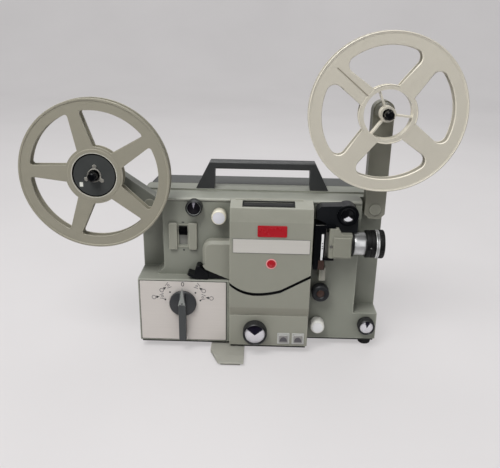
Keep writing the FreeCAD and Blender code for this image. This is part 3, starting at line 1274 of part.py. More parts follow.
def build_parts():
    """All sub-parts by name."""
    keys = key_places()
    return {
        "main_housing": main_housing(),
        "rear_cover": rear_cover(),
        "base_plate": base_plate(),
        "rubber_feet": rubber_feet(),
        "carry_handle": carry_handle(),
        "case_screws": case_screws(),
        "control_panel": control_panel(),
        "chassis_plate": chassis_plate(),
        "lamp_cover": lamp_cover(),
        "sound_cover": sound_cover(),
        "lower_cover": lower_cover(),
        "exit_cover": exit_cover(),
        "exit_guide": exit_guide(),
        "feed_guide": feed_guide(),
        "feed_sprocket": feed_sprocket(),
        "lower_sprocket": lower_sprocket(),
        "sprocket_belt": sprocket_belt(),
        "gate_block": gate_block(),
        "film_claw": film_claw(),
        "film_chute": film_chute(),
        "lens_holder": lens_holder(),
        "pressure_plate": pressure_plate(),
        "lens_barrel": lens_barrel(),
        "zoom_ring": zoom_ring(),
        "focus_tube": focus_tube(),
        "front_lens": front_lens(),
        "focus_ring": focus_ring(),
        "function_knob": function_knob(),
        "volume_knob": volume_knob(),
        "tone_knob": small_knob(TONE_AT, FRONT, TONE_R, SMALL_KNOB_H, FRONT + WALL + 6),
        "sync_knob": small_knob(SYNC_AT, FRONT, SYNC_R, SMALL_KNOB_H, FRONT + WALL + 6),
        "framing_knob": domed_knob(FRAMING_AT, FRONT, WHITE_R, WHITE_H, FRONT + WALL + 6),
        "speed_knob": domed_knob(SPEED_AT, FRONT, WHITE_R, WHITE_H, FRONT + WALL + 6),
        "switch_guard": switch_guard(),
        "slide_switch": slide_switch(),
        "left_key": push_key(keys[0]),
        "right_key": push_key(keys[1]),
        "arm_pins": arm_pins(),
        "front_arm": arm(FRONT_PIVOT, FRONT_ARM_LEN, 0),
        "front_spindle": spindle(FRONT_AXLE),
        "front_reel": front_reel(),
        "rear_arm": arm(REAR_PIVOT, REAR_ARM_LEN, -REAR_ARM_LEAN),
        "rear_spindle": spindle(REAR_AXLE),
        "rear_reel": rear_reel(),
        "rear_reel_core": rear_reel_core(),
        "support_foot": support_foot(),
        "motor_stator": motor_stator(),
        "motor_rotor": motor_rotor(),
        "drive_belt": drive_belt(),
        "main_shaft": main_shaft(),
        "light_shutter": light_shutter(),
        "sound_flywheel": sound_flywheel(),
        "sound_head": sound_head(),
        "lamp_reflector": lamp_reflector(),
        "lamp_bulb": lamp_bulb(),
        "fold_mirror": fold_mirror(),
        "transformer": transformer(),
        "amplifier_board": amplifier_board(),
        "loudspeaker": loudspeaker(),
        "socket_panel": socket_panel(),
    }


def write_parts():
    """Write one STEP file per sub-part."""
    os.makedirs("parts", exist_ok=True)
    for name, shape in build_parts().items():
        solids = len(shape.Solids)
        print(name, solids, round(shape.Volume, 1), "valid" if shape.isValid() else "NOT VALID")
        shape.exportStep(os.path.join("parts", name + ".step"))


write_parts()
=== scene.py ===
"""Looks of a tabletop sound film projector with two reel arms.

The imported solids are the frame. Pieces that show are modelled over it and dressed, and
everything rides on the body that carries it.
"""
from __future__ import annotations

import json
import logging
import math
from dataclasses import dataclass
from enum import Enum
from typing import Callable, Sequence, Union

import bmesh
import bpy
from mathutils import Matrix, Vector


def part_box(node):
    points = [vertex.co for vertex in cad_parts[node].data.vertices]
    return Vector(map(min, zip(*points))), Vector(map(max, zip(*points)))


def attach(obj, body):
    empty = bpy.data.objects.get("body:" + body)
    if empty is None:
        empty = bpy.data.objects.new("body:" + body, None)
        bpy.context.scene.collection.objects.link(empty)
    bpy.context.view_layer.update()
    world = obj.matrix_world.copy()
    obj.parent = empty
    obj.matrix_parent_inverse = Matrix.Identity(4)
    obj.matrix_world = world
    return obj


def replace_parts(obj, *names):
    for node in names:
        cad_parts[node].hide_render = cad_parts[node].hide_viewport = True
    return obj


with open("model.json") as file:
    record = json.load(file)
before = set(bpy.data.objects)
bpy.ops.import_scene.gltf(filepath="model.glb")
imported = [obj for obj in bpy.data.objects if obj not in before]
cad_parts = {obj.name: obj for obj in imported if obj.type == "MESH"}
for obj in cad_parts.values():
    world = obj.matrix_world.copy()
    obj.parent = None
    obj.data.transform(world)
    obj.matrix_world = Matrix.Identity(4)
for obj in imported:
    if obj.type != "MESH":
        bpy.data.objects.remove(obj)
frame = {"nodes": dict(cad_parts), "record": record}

LOG = logging.getLogger("projector")
MM = 0.001
TO_MM = (1 / MM, 1 / MM, 1 / MM)
FULL_TURN = 2 * math.pi
WELD = 1e-6
SMOOTH = math.radians(60)
Rgb = tuple[int, int, int]
Piece = bpy.types.Object
Span = tuple[float, float]
Pairs = Sequence[Span]
Rectangle = tuple[float, float, float, float]
Place = Callable[[Vector, Vector], bool]


class Axis(Enum):
    """Direction that a turned piece runs along."""

    X = (1.0, 0.0, 0.0)
    Y = (0.0, 1.0, 0.0)
    Z = (0.0, 0.0, 1.0)


@dataclass(frozen=True)
class Datum:
    """Main levels of the case, in millimetres of the frame."""

    left: float = -11.0
    right: float = 295.0
    front: float = -14.0
    seam: float = 56.0
    base: float = 12.0
    top: float = 200.0


CASE = Datum()


def spot(x: float, y: float, z: float) -> Vector:
    """Point in metres from millimetres of the frame."""
    return Vector((x, y, z)) * MM


def channel(value: int) -> float:
    """Linear level of an 8-bit display level."""
    level = value / 255
    return level / 12.92 if level <= 0.04045 else ((level + 0.055) / 1.055) ** 2.4


def linear(colour: Rgb) -> tuple[float, float, float, float]:
    """Linear colour of an 8-bit display colour.

    Args:
        colour: Red, green and blue from 0 to 255.

    Returns:
        The same colour for a shader socket, opaque.
    """
    return (*(channel(value) for value in colour), 1.0)


# Shader arithmetic


class Value:
    """A node's output socket, as a value in Python arithmetic."""

    def __init__(self, graph: "Graph", socket: bpy.types.NodeSocket) -> None:
        """Keeps the socket and the graph that it belongs to."""
        self.graph = graph
        self.socket = socket

    def __add__(self, other: "Number") -> "Value":
        """Sum."""
        return self.graph.math("ADD", self, other)

    def __radd__(self, other: "Number") -> "Value":
        """Sum, reflected."""
        return self.graph.math("ADD", other, self)

    def __sub__(self, other: "Number") -> "Value":
        """Difference."""
        return self.graph.math("SUBTRACT", self, other)

    def __rsub__(self, other: "Number") -> "Value":
        """Difference, reflected."""
        return self.graph.math("SUBTRACT", other, self)

    def __mul__(self, other: "Number") -> "Value":
        """Product."""
        return self.graph.math("MULTIPLY", self, other)

    def __rmul__(self, other: "Number") -> "Value":
        """Product, reflected."""
        return self.graph.math("MULTIPLY", other, self)

    def __truediv__(self, other: "Number") -> "Value":
        """Quotient."""
        return self.graph.math("DIVIDE", self, other)

    def __rtruediv__(self, other: "Number") -> "Value":
        """Quotient, reflected."""
        return self.graph.math("DIVIDE", other, self)

    def clamp(self) -> "Value":
        """The value held between 0 and 1."""
        return self.graph.node("ShaderNodeClamp", {}, {"Value": self})


Number = Union[float, Value]


class Graph:
    """Node tree of one material."""

    def __init__(self, tree: bpy.types.NodeTree) -> None:
        """Starts from an empty tree."""
        self.tree = tree
        tree.nodes.clear()

    def node(self, kind: str, settings: dict, inputs: dict, output: int | str = 0) -> Value:
        """Adds a node.

        Args:
            kind: The node's type.
            settings: Its attributes, and "stops" for a ramp.
            inputs: Sockets by name or number, each a number, colour, vector or Value.
            output: Name or number of the output socket wanted.

        Returns:
            That output.
        """
        made = self.tree.nodes.new(kind)
        for name, setting in settings.items():
            if name == "stops":
                for element, (position, level) in zip(self._elements(made, len(setting)), setting):
                    element.position = position
                    element.color = level if isinstance(level, tuple) else (level, level, level, 1.0)
            else:
                setattr(made, name, setting)
        for name, value in inputs.items():
            socket = made.inputs[name]
            if isinstance(value, Value):
                self.tree.links.new(value.socket, socket)
            else:
                socket.default_value = value
        return Value(self, made.outputs[output])

    def end(self, shader: Value) -> None:
        """Sends a shader to the material's output."""
        made = self.tree.nodes.new("ShaderNodeOutputMaterial")
        self.tree.links.new(shader.socket, made.inputs["Surface"])

    @staticmethod
    def _elements(made: bpy.types.Node, count: int) -> bpy.types.bpy_prop_collection:
        """The ramp's stops, as many as wanted.

        Args:
            made: The ramp's node.
            count: Number of stops.

        Returns:
            The stops.
        """
        elements = made.color_ramp.elements
        while len(elements) < count:
            elements.new(1.0)
        return elements

    def math(self, operation: str, first: Number, second: Number = 0.0) -> Value:
        """Math node on one or two values."""
        return self.node("ShaderNodeMath", {"operation": operation}, {0: first, 1: second})

    def ramp(self, value: Value, *stops: tuple) -> Value:
        """Value sent through stops of (position, level)."""
        return self.node("ShaderNodeValToRGB", {"stops": stops}, {"Fac": value})

    def mix(self, factor: Number, first: object, second: object) -> Value:
        """Colour between two colours."""
        settings = {"data_type": "RGBA", "clamp_factor": True}
        return self.node("ShaderNodeMix", settings, {0: factor, 6: first, 7: second}, 2)

    def blend(self, factor: Number, first: Value, second: Value) -> Value:
        """Shader between two shaders."""
        return self.node("ShaderNodeMixShader", {}, {0: factor, 1: first, 2: second})

    def ray(self, kind: str) -> Value:
        """Whether a ray is a Camera or a Glossy one."""
        return self.node("ShaderNodeLightPath", {}, {}, f"Is {kind} Ray")

    def coords(self, centre: Vector | None = None, scale: Sequence[float] = (1, 1, 1)) -> Value:
        """Object coordinates, counted from a centre and stretched.

        Args:
            centre: Where they are nought, the origin if left out.
            scale: Stretch along each axis.

        Returns:
            The coordinates.
        """
        place = self.node("ShaderNodeTexCoord", {}, {}, "Object")
        if centre is not None:
            place = self.node("ShaderNodeVectorMath", {"operation": "SUBTRACT"}, {0: place, 1: tuple(centre)})
        return self.node("ShaderNodeVectorMath", {"operation": "MULTIPLY"}, {0: place, 1: tuple(scale)})

    def noise(self, scale: float, detail: float = 3.0, where: Value | None = None) -> Value:
        """Noise from 0 to 1."""
        inputs = {"Vector": where or self.coords(), "Scale": scale, "Detail": detail}
        return self.node("ShaderNodeTexNoise", {"normalize": True}, inputs)

    def circles(self, along: Value, scale: float, detail: float) -> Value:
        """Noise along one value, for turned circles."""
        inputs = {"W": along, "Scale": scale, "Detail": detail}
        return self.node("ShaderNodeTexNoise", {"noise_dimensions": "1D"}, inputs)

    def part(self, vector: Value, axis: str) -> Value:
        """X, Y or Z of a vector."""
        return self.node("ShaderNodeSeparateXYZ", {}, {0: vector}, axis)

    def radius(self, centre: Vector, axis: Axis) -> Value:
        """Distance from an axis, in millimetres."""
        where = self.coords(centre, [(1 - part) / MM for part in axis.value])
        return self.node("ShaderNodeVectorMath", {"operation": "LENGTH"}, {0: where}, "Value")

    def height(self) -> Value:
        """Height above the ground, in millimetres."""
        return self.part(self.coords(None, TO_MM), "Z")

    def bearing(self, centre: Vector, middle: float) -> Value:
        """Angle round a centre in the XZ plane, from 0 in one direction to 1 opposite it.

        Args:
            centre: The centre.
            middle: The direction, in degrees clockwise from straight up, seen from the front.

        Returns:
            The angle over half a turn.
        """
        where = self.coords(centre)
        x, z = self.part(where, "X"), self.part(where, "Z")
        sine, cosine = math.sin(math.radians(middle)), math.cos(math.radians(middle))
        angle = self.math("ARCTAN2", x * cosine - z * sine, x * sine + z * cosine)
        return self.math("ABSOLUTE", angle) / math.pi

    def edges(self, reach: float) -> Value:
        """Mask of outer edges, from 0 to 1, within a reach in metres."""
        soft = self.node("ShaderNodeBevel", {"samples": 4}, {"Radius": reach})
        return ((1.0 - self.likeness(soft, self.normal("True Normal"))) * 12.0).clamp()

    def likeness(self, first: Value, second: object) -> Value:
        """Cosine of the angle between two directions."""
        inputs = {0: first, 1: second}
        return self.node("ShaderNodeVectorMath", {"operation": "DOT_PRODUCT"}, inputs, "Value")

    def normal(self, kind: str = "Normal") -> Value:
        """Direction that the surface faces."""
        return self.node("ShaderNodeNewGeometry", {}, {}, kind)

    def facing(self, direction: tuple[float, float, float], gain: float = 1.0) -> Value:
        """How far the surface faces a fixed direction, from 0 to 1."""
        return (self.likeness(self.normal(), direction) * gain).clamp()

    def hollows(self, reach: float) -> Value:
        """Mask of corners and hollows, from 0 in the open to 1, within a reach in metres."""
        open_share = self.node("ShaderNodeAmbientOcclusion", {"samples": 6}, {"Distance": reach}, "AO")
        return (1.0 - open_share).clamp()

    def upward(self) -> Value:
        """How far the surface faces up, from 0 to 1."""
        return self.part(self.normal(), "Z").clamp()

    def bump(self, height: Value, depth: float, strength: float = 1.0) -> Value:
        """Normal bent by a height from 0 to 1, of a depth in metres."""
        return self.node("ShaderNodeBump", {}, {"Height": height, "Distance": depth, "Strength": strength})


# Finishes


@dataclass(frozen=True)
class Finish:
    """Surface that pieces are dressed in."""

    name: str
    colour: Rgb
    roughness: float = 0.5

    def material(self) -> bpy.types.Material:
        """The finish as a material, made when first asked for.

        Returns:
            The material.
        """
        found = bpy.data.materials.get(self.name)
        if found:
            return found
        made = bpy.data.materials.new(self.name)
        made.use_nodes = True
        made.diffuse_color = linear(self.colour)
        graph = Graph(made.node_tree)
        inputs = {"Roughness": self.roughness, **self.sockets(graph)}
        graph.end(graph.node("ShaderNodeBsdfPrincipled", {}, inputs))
        return made

    def sockets(self, graph: Graph) -> dict:
        """Inputs of the shader by name.

        Args:
            graph: The material's nodes.

        Returns:
            A value or number for each socket that differs from the plain shader.
        """
        return {"Base Color": linear(self.colour)}

    def shade(self, factor: float) -> tuple[float, float, float, float]:
        """The colour made lighter or darker."""
        return (*(min(1.0, level * factor) for level in linear(self.colour)[:3]), 1.0)


@dataclass(frozen=True)
class Enamel(Finish):
    """Baked enamel on metal: slight mottling, settled dust, painted shade in hollows, and paler edges that are
    partly rubbed paint and partly painted highlight.
    """

    mottling: float = 0.05
    # Share of paler edges: partly rubbed paint, partly painted highlight.
    edge_wear_and_highlight: float = 0.6
    # Share of painted shade: how much darker corners and hollows are made.
    hollow_shade: float = 0.3
    peel: float = 0.00006
    band: Span = (0.0, 0.0)

    def sockets(self, graph: Graph) -> dict:
        """Mottled colour with painted shade in hollows and paler edges, partly rubbed paint and partly painted
        highlight, over an orange-peel surface.
        """
        cloud = graph.noise(38, 4)
        fleck = graph.ramp(graph.noise(420, 2), (0.70, 0.0), (0.78, 1.0))
        tone = graph.mix(cloud, self.shade(1 - self.mottling), self.shade(1 + self.mottling))
        tone = graph.mix(fleck * 0.12, tone, self.shade(0.72))
        # Painted shade: corners and hollows darkened by an occlusion mask.
        tone = graph.mix(graph.hollows(0.03) * self.hollow_shade, tone, self.shade(0.35))
        if self.band[1]:
            reach = 4 * self.band[1]
            low, high = (level / reach for level in self.band)
            stripe = graph.ramp(graph.height() / reach, (low - 0.002, 0.0), (low + 0.001, 1.0),
                                (high - 0.002, 0.8), (high + 0.004, 0.0))
            tone = graph.mix(stripe * 0.55, tone, linear((119, 116, 104)))
        # Paler edges: partly rubbed paint, partly a painted highlight along every edge.
        rubbed_and_lit_edges = graph.edges(0.0022) * graph.ramp(graph.noise(90, 4), (0.30, 0.45), (0.72, 1.0))
        tone = graph.mix(rubbed_and_lit_edges * self.edge_wear_and_highlight, tone, self.shade(1.55))
        dust = graph.upward() * graph.noise(70, 5)
        tone = graph.mix(dust * 0.18, tone, linear((205, 203, 196)))
        rough = self.roughness - 0.06 + cloud * 0.12 + dust * 0.15
        return {"Base Color": tone, "Roughness": rough, "Normal": graph.bump(graph.noise(1400, 1), self.peel),
                "Specular IOR Level": 0.35, "Coat Weight": 0.04, "Coat Roughness": 0.3}


@dataclass(frozen=True)
class Moulded(Finish):
    """Moulded plastic with a fine grain and rubbed edges."""

    grain: float = 0.00001
    grain_scale: float = 1100.0
    rub: float = 0.25
    dust: float = 0.06
    shine: float = 0.5

    def sockets(self, graph: Graph) -> dict:
        """Even colour, rubbed along the edges, with a pebbled surface."""
        cloud = graph.noise(55, 3)
        tone = graph.mix(cloud, self.shade(0.93), self.shade(1.07))
        rubbed = graph.edges(0.0007) * graph.noise(140, 3)
        tone = graph.mix(rubbed * self.rub, tone, self.shade(1.9))
        dust = graph.upward() * graph.noise(130, 4)
        tone = graph.mix(dust * self.dust, tone, linear((190, 188, 182)))
        pebbles = graph.node("ShaderNodeTexVoronoi", {"feature": "SMOOTH_F1"},
                             {"Vector": graph.coords(), "Scale": self.grain_scale})
        return {"Base Color": tone, "Roughness": self.roughness - 0.05 + cloud * 0.1 + rubbed * -0.1,
                "Normal": graph.bump(pebbles, self.grain, 0.8), "Specular IOR Level": self.shine}


@dataclass(frozen=True)
class ReelPlastic(Finish):
    """Glossy moulded reel, with faint circles from turning and handling."""

    centre: tuple[float, float, float] = (0.0, 0.0, 0.0)
    # Strength of the painted highlight on lips that face the key lamp.
    lip_highlight: float = 0.85

    def sockets(self, graph: Graph) -> dict:
        """Colour with concentric traces and scuffs, paler edges, and a painted highlight on the lips that face
        up and to the left.
        """
        reach = graph.radius(Vector(self.centre), Axis.Y)
        rings = graph.circles(reach, 2.2, 4.0)
        cloud = graph.noise(26, 4)
        scuff = graph.ramp(graph.noise(300, 6), (0.62, 0.0), (0.70, 1.0))
        tone = graph.mix(cloud, self.shade(0.96), self.shade(1.04))
        tone = graph.mix(rings * 0.2, tone, self.shade(0.9))
        tone = graph.mix(scuff * 0.10, tone, self.shade(0.7))
        # Painted highlight: edges paler, and faces turned up and to the left, towards the key lamp, paler
        # still.
        tone = graph.mix(graph.edges(0.0009) * 0.2, tone, self.shade(1.3))
        tone = graph.mix(graph.facing((-0.72, 0.0, 0.70), 2.2) * self.lip_highlight, tone, self.shade(1.7))
        return {"Base Color": tone, "Roughness": self.roughness + rings * 0.12 + scuff * 0.1,
                "Normal": graph.bump(rings, 0.00005, 0.5), "Coat Weight": 0.12, "Coat Roughness": 0.25}


@dataclass(frozen=True)
class Metal(Finish):
    """Plated or bare metal, brushed along one direction."""

    brush: tuple[float, float, float] = (1.0, 1.0, 1.0)
    depth: float = 0.00001
    tarnish: float = 0.15

    def sockets(self, graph: Graph) -> dict:
        """Brushed streaks with a little tarnish."""
        streaks = graph.noise(900, 2, graph.coords(None, self.brush))
        film = graph.ramp(graph.noise(60, 5), (0.45, 0.0), (0.75, 1.0))
        tone = graph.mix(streaks, self.shade(0.92), self.shade(1.05))
        tone = graph.mix(film * self.tarnish, tone, self.shade(0.6))
        rough = self.roughness + streaks * 0.12 + film * 0.08
        return {"Base Color": tone, "Metallic": 1.0, "Roughness": rough,
                "Normal": graph.bump(streaks, self.depth, 0.6)}


@dataclass(frozen=True)
class Spun(Finish):
    """Metal turned on a lathe, with fine circles round an axis."""

    centre: tuple[float, float, float] = (0.0, 0.0, 0.0)
    axis: Axis = Axis.Y
    pitch: float = 9.0

    def sockets(self, graph: Graph) -> dict:
        """Turned circles and a few specks."""
        reach = graph.radius(Vector(self.centre), self.axis)
        rings = graph.circles(reach, self.pitch, 2.0)
        speck = graph.ramp(graph.noise(700, 2), (0.72, 0.0), (0.78, 1.0))
        tone = graph.mix(rings, self.shade(0.94), self.shade(1.04))
        tone = graph.mix(speck * 0.25, tone, self.shade(0.5))
        return {"Base Color": tone, "Metallic": 1.0, "Roughness": self.roughness + rings * 0.05 + speck * 0.2,
                "Normal": graph.bump(rings, 0.00002, 0.3)}


@dataclass(frozen=True)
class Sectored(Spun):
    """Turned cap whose tones are a painted reflection: one sector in another tone stands for the wedge of the
    room that spun metal mirrors.
    """

    other: Rgb = (24, 22, 30)
    middle: float = 0.0
    half: float = 50.0

    def sockets(self, graph: Graph) -> dict:
        """Turned circles, with the sector's edges a little wavy."""
        reach = graph.radius(Vector(self.centre), self.axis)
        wave = graph.circles(reach, self.pitch / 9, 2.0)
        fine = graph.circles(reach, self.pitch, 2.0)
        bearing = graph.bearing(Vector(self.centre), self.middle) + (wave - 0.5) * 0.12
        share = self.half / 180
        # Painted reflection: the sector is the dark or bright wedge that a spun cap reflects.
        sector = graph.ramp(bearing, (max(0.0, share - 0.03), 1.0), (share + 0.02, 0.0))
        tone = graph.mix(fine, self.shade(0.80), self.shade(1.08))
        tone = graph.mix(sector, tone, linear(self.other))
        return {"Base Color": tone, "Metallic": 0.25, "Roughness": self.roughness + fine * 0.05,
                "Normal": graph.bump(fine, 0.00002, 0.3), "Specular IOR Level": 0.2}


@dataclass(frozen=True)
class Banded(Spun):
    """Polished sleeve with the room's reflection painted on as level bands."""

    reach: float = 14.0

    def sockets(self, graph: Graph) -> dict:
        """Painted reflection bands from the lower edge to the upper, over fine circles."""
        where = graph.coords(Vector(self.centre), TO_MM)
        level = graph.part(where, "Z") / (2 * self.reach) + 0.5
        # Painted reflection: light and dark bands of the room, fixed to the height on the sleeve.
        bands = graph.ramp(level, (0.0, 0.30), (0.10, 0.95), (0.26, 0.80), (0.40, 0.45), (0.50, 0.55),
                           (0.58, 1.0), (0.74, 1.0), (0.83, 0.22), (0.93, 0.10), (1.0, 0.5))
        rings = graph.circles(graph.part(where, "X"), 3.0, 3.0)
        tone = graph.mix(bands, self.shade(0.06), self.shade(1.0))
        tone = graph.mix(rings * 0.2, tone, self.shade(0.6))
        return {"Base Color": tone, "Metallic": 0.35, "Roughness": self.roughness + rings * 0.08,
                "Normal": graph.bump(rings, 0.00002, 0.3)}


@dataclass(frozen=True)
class Rubber(Finish):
    """Dull rubber with a dusty bloom."""

    def sockets(self, graph: Graph) -> dict:
        """Bloomed dark surface with a fine grain."""
        bloom = graph.noise(90, 5)
        tone = graph.mix(bloom * 0.5, linear(self.colour), self.shade(1.9))
        return {"Base Color": tone, "Roughness": self.roughness + bloom * 0.1, "Specular IOR Level": 0.3,
                "Normal": graph.bump(graph.noise(1600, 2), 0.00006)}


@dataclass(frozen=True)
class Glass(Finish):
    """Clear glass with a coating and a trace of dust."""

    def sockets(self, graph: Graph) -> dict:
        """Clear body, with dust in its roughness and colour."""
        dust = graph.ramp(graph.noise(500, 4), (0.60, 0.0), (0.75, 1.0))
        tone = graph.mix(dust * 0.2, linear(self.colour), linear((225, 225, 222)))
        return {"Base Color": tone, "Roughness": self.roughness + dust * 0.08, "Transmission Weight": 0.92,
                "IOR": 1.52, "Coat Weight": 0.3, "Coat Roughness": 0.05}


@dataclass(frozen=True)
class Ink(Finish):
    """Printing ink, a little uneven."""

    def sockets(self, graph: Graph) -> dict:
        """Uneven cover."""
        cover = graph.noise(260, 3)
        return {"Base Color": graph.mix(cover, self.shade(0.85), self.shade(1.15)),
                "Roughness": self.roughness + cover * 0.1}


@dataclass(frozen=True)
class Satin(Finish):
    """Brushed and lacquered sheet, pale, with fine streaks along X."""

    def sockets(self, graph: Graph) -> dict:
        """Streaks, handling marks and a soft gloss."""
        streaks = graph.noise(260, 3, graph.coords(None, (0.03, 1.0, 4.0)))
        stain = graph.ramp(graph.noise(30, 5), (0.5, 0.0), (0.8, 1.0))
        tone = graph.mix(streaks, self.shade(0.96), self.shade(1.03))
        tone = graph.mix(stain * 0.12, tone, self.shade(0.8))
        return {"Base Color": tone, "Roughness": self.roughness + streaks * 0.1, "Metallic": 0.15,
                "Normal": graph.bump(streaks, 0.00002, 0.4), "Coat Weight": 0.1, "Coat Roughness": 0.3}


@dataclass(frozen=True)
class Wound(Finish):
    """Enamelled wire in close turns, or laminations, stacked along Z."""

    pitch: float = 700.0

    def sockets(self, graph: Graph) -> dict:
        """Turns as bands of light and dark."""
        turns = graph.node("ShaderNodeTexWave", {"wave_type": "BANDS", "bands_direction": "Z"},
                           {"Vector": graph.coords(), "Scale": self.pitch, "Distortion": 0.4})
        tone = graph.mix(turns, self.shade(0.55), self.shade(1.1))
        return {"Base Color": tone, "Roughness": self.roughness + turns * 0.1,
                "Normal": graph.bump(turns, 0.0003)}


HOUSING = Enamel("grey_green_enamel", (134, 136, 125), 0.46, edge_wear_and_highlight=0.85, hollow_shade=0.5)
COVER = Enamel("cover_enamel", (140, 140, 128), 0.44, edge_wear_and_highlight=0.7)
FOOT_PAINT = Enamel("foot_enamel", (152, 151, 141), 0.46)
ARM_PAINT = Enamel("arm_enamel", (131, 130, 118), 0.42, mottling=0.04, edge_wear_and_highlight=0.8)
ARM_PAINT_BACK = Enamel("back_arm_enamel", (116, 118, 110), 0.42, mottling=0.04, edge_wear_and_highlight=0.8)
BASE_PAINT = Enamel("base_enamel", (48, 48, 47), 0.6, edge_wear_and_highlight=0.3)
PIN_PAINT = Enamel("pin_enamel", (134, 134, 122), 0.42)
HOLDER = Enamel("holder_enamel", (130, 130, 118), 0.44)
SOUND_COVER = Enamel("sound_cover_enamel", (140, 140, 128), 0.44, band=(55.0, 66.5))
LOWER_COVER = Enamel("lower_cover_enamel", (144, 144, 132), 0.44)
# Housing paint made paler for the top front lip: a painted highlight.
LIT_BROW = Enamel("lit_brow_enamel", (150, 151, 140), 0.4)
REAR = Moulded("rear_shell_plastic", (70, 72, 70), 0.52, grain=0.00008, grain_scale=800)
HANDLE = Moulded("handle_plastic", (54, 55, 56), 0.42, grain=0.00006)
BLACK = Moulded("black_plastic", (14, 14, 15), 0.42, grain=0.00003, dust=0.01, shine=0.2)
GLOSS_BLACK = Moulded("gloss_black_plastic", (8, 9, 12), 0.24, rub=0.4, dust=0.006, shine=0.18)
LEVER = Moulded("lever_plastic", (59, 62, 63), 0.44, grain=0.00004)
KNOB_GREY = Moulded("knob_plastic", (30, 31, 32), 0.36, grain=0.00002, shine=0.3)
IVORY = Moulded("ivory_plastic", (222, 217, 198), 0.3, rub=0.1)
WHITE_DISC = Moulded("white_disc", (223, 223, 222), 0.32, rub=0.1)
PALE = Moulded("pale_plastic", (196, 194, 184), 0.36, grain=0.00002, rub=0.1)
KEY_GREY = Moulded("key_face", (140, 138, 135), 0.3, rub=0.1)
KEY_DISH_SHADE = Moulded("key_sign", (78, 75, 80), 0.3, rub=0.1)
FUNCTION_DISC = Moulded("function_disc_plastic", (44, 46, 48), 0.4, grain=0.00004)
POINTER = Moulded("pointer_plastic", (134, 137, 133), 0.34, rub=0.3)
CHUTE = Moulded("chute_plastic", (140, 138, 128), 0.34, grain=0.00002, rub=0.2)
BROWN = Moulded("brown_plastic", (56, 34, 25), 0.4, grain=0.00005, dust=0.01)
RED = Moulded("red_enamel", (168, 16, 30), 0.28, rub=0.15)
PALE_RED = Moulded("pale_red_enamel", (226, 150, 152), 0.3, rub=0.1)
CORE = Moulded("core_plastic", (62, 64, 63), 0.34, grain=0.00003, rub=0.5, shine=0.35)
WHITE_GLOSS = Moulded("white_gloss", (222, 221, 214), 0.2, rub=0.1)
SLIDER_PALE = Moulded("slider_bed", (138, 138, 131), 0.4, grain=0.00002)
ROLLER = Moulded("roller_plastic", (26, 28, 31), 0.4, grain=0.00002, rub=0.3, shine=0.3)
SLIDER = Moulded("slider_plastic", (6, 6, 7), 0.55, grain=0.00003, rub=0.05, dust=0.0, shine=0.05)
FEED_BLACK = Moulded("feed_guide_plastic", (20, 22, 25), 0.34, grain=0.00002, rub=0.9, dust=0.02, shine=0.35)
KEY_FRAME = Moulded("key_frame", (190, 190, 186), 0.32, rub=0.1)
DISC_GREY = Moulded("disc_plastic", (206, 206, 211), 0.32, rub=0.1)
LENS_BLACK = Moulded("lens_black", (14, 14, 16), 0.3, rub=0.6, dust=0.01)
PANEL = Satin("panel_sheet", (203, 197, 191), 0.42)
PLATE = Satin("name_plate_sheet", (200, 197, 190), 0.4)
CHROME = Metal("chrome", (214, 214, 214), 0.08, brush=(1, 1, 1), tarnish=0.1)
STEEL = Metal("brushed_steel", (168, 167, 162), 0.3, brush=(0.05, 1, 1))
CLAW = Metal("claw_steel", (206, 203, 194), 0.5, tarnish=0.1)
STEEL_DARK = Metal("works_steel", (128, 128, 124), 0.4, brush=(0.1, 1, 1), tarnish=0.3)
BRASS = Metal("turned_brass", (186, 150, 88), 0.28, brush=(1, 0.05, 1))
MIRROR = Metal("mirror_coat", (226, 226, 226), 0.03, tarnish=0.04)
IRON = Wound("motor_laminations", (92, 92, 90), 0.55, pitch=500)
COPPER = Wound("copper_winding", (134, 78, 44), 0.4, pitch=800)
BOARD = Wound("circuit_board", (104, 82, 44), 0.5, pitch=120)
PAPER = Wound("speaker_cone", (58, 56, 52), 0.8, pitch=300)
RUBBER = Rubber("rubber", (30, 30, 30), 0.75)
BELT = Rubber("belt_rubber", (38, 37, 36), 0.7)
GREY_INK_AND_SHADE = Ink("grey_ink_and_shade", (78, 78, 82), 0.5)
DARK_INK = Ink("dark_ink", (28, 28, 32), 0.5)
WHITE_INK = Ink("white_ink", (206, 207, 203), 0.5)
LINING_AND_SHADE = Ink("matt_black_lining_and_shade", (12, 12, 12), 0.85)
JOINT_AND_SHADE_LINE = Ink("dusty_joint_and_shade_line", (72, 73, 68), 0.8)
LENS_GLASS = Glass("coated_glass", (178, 186, 214), 0.03)
LAMP_GLASS = Glass("lamp_glass", (232, 230, 222), 0.05)


# Bench work


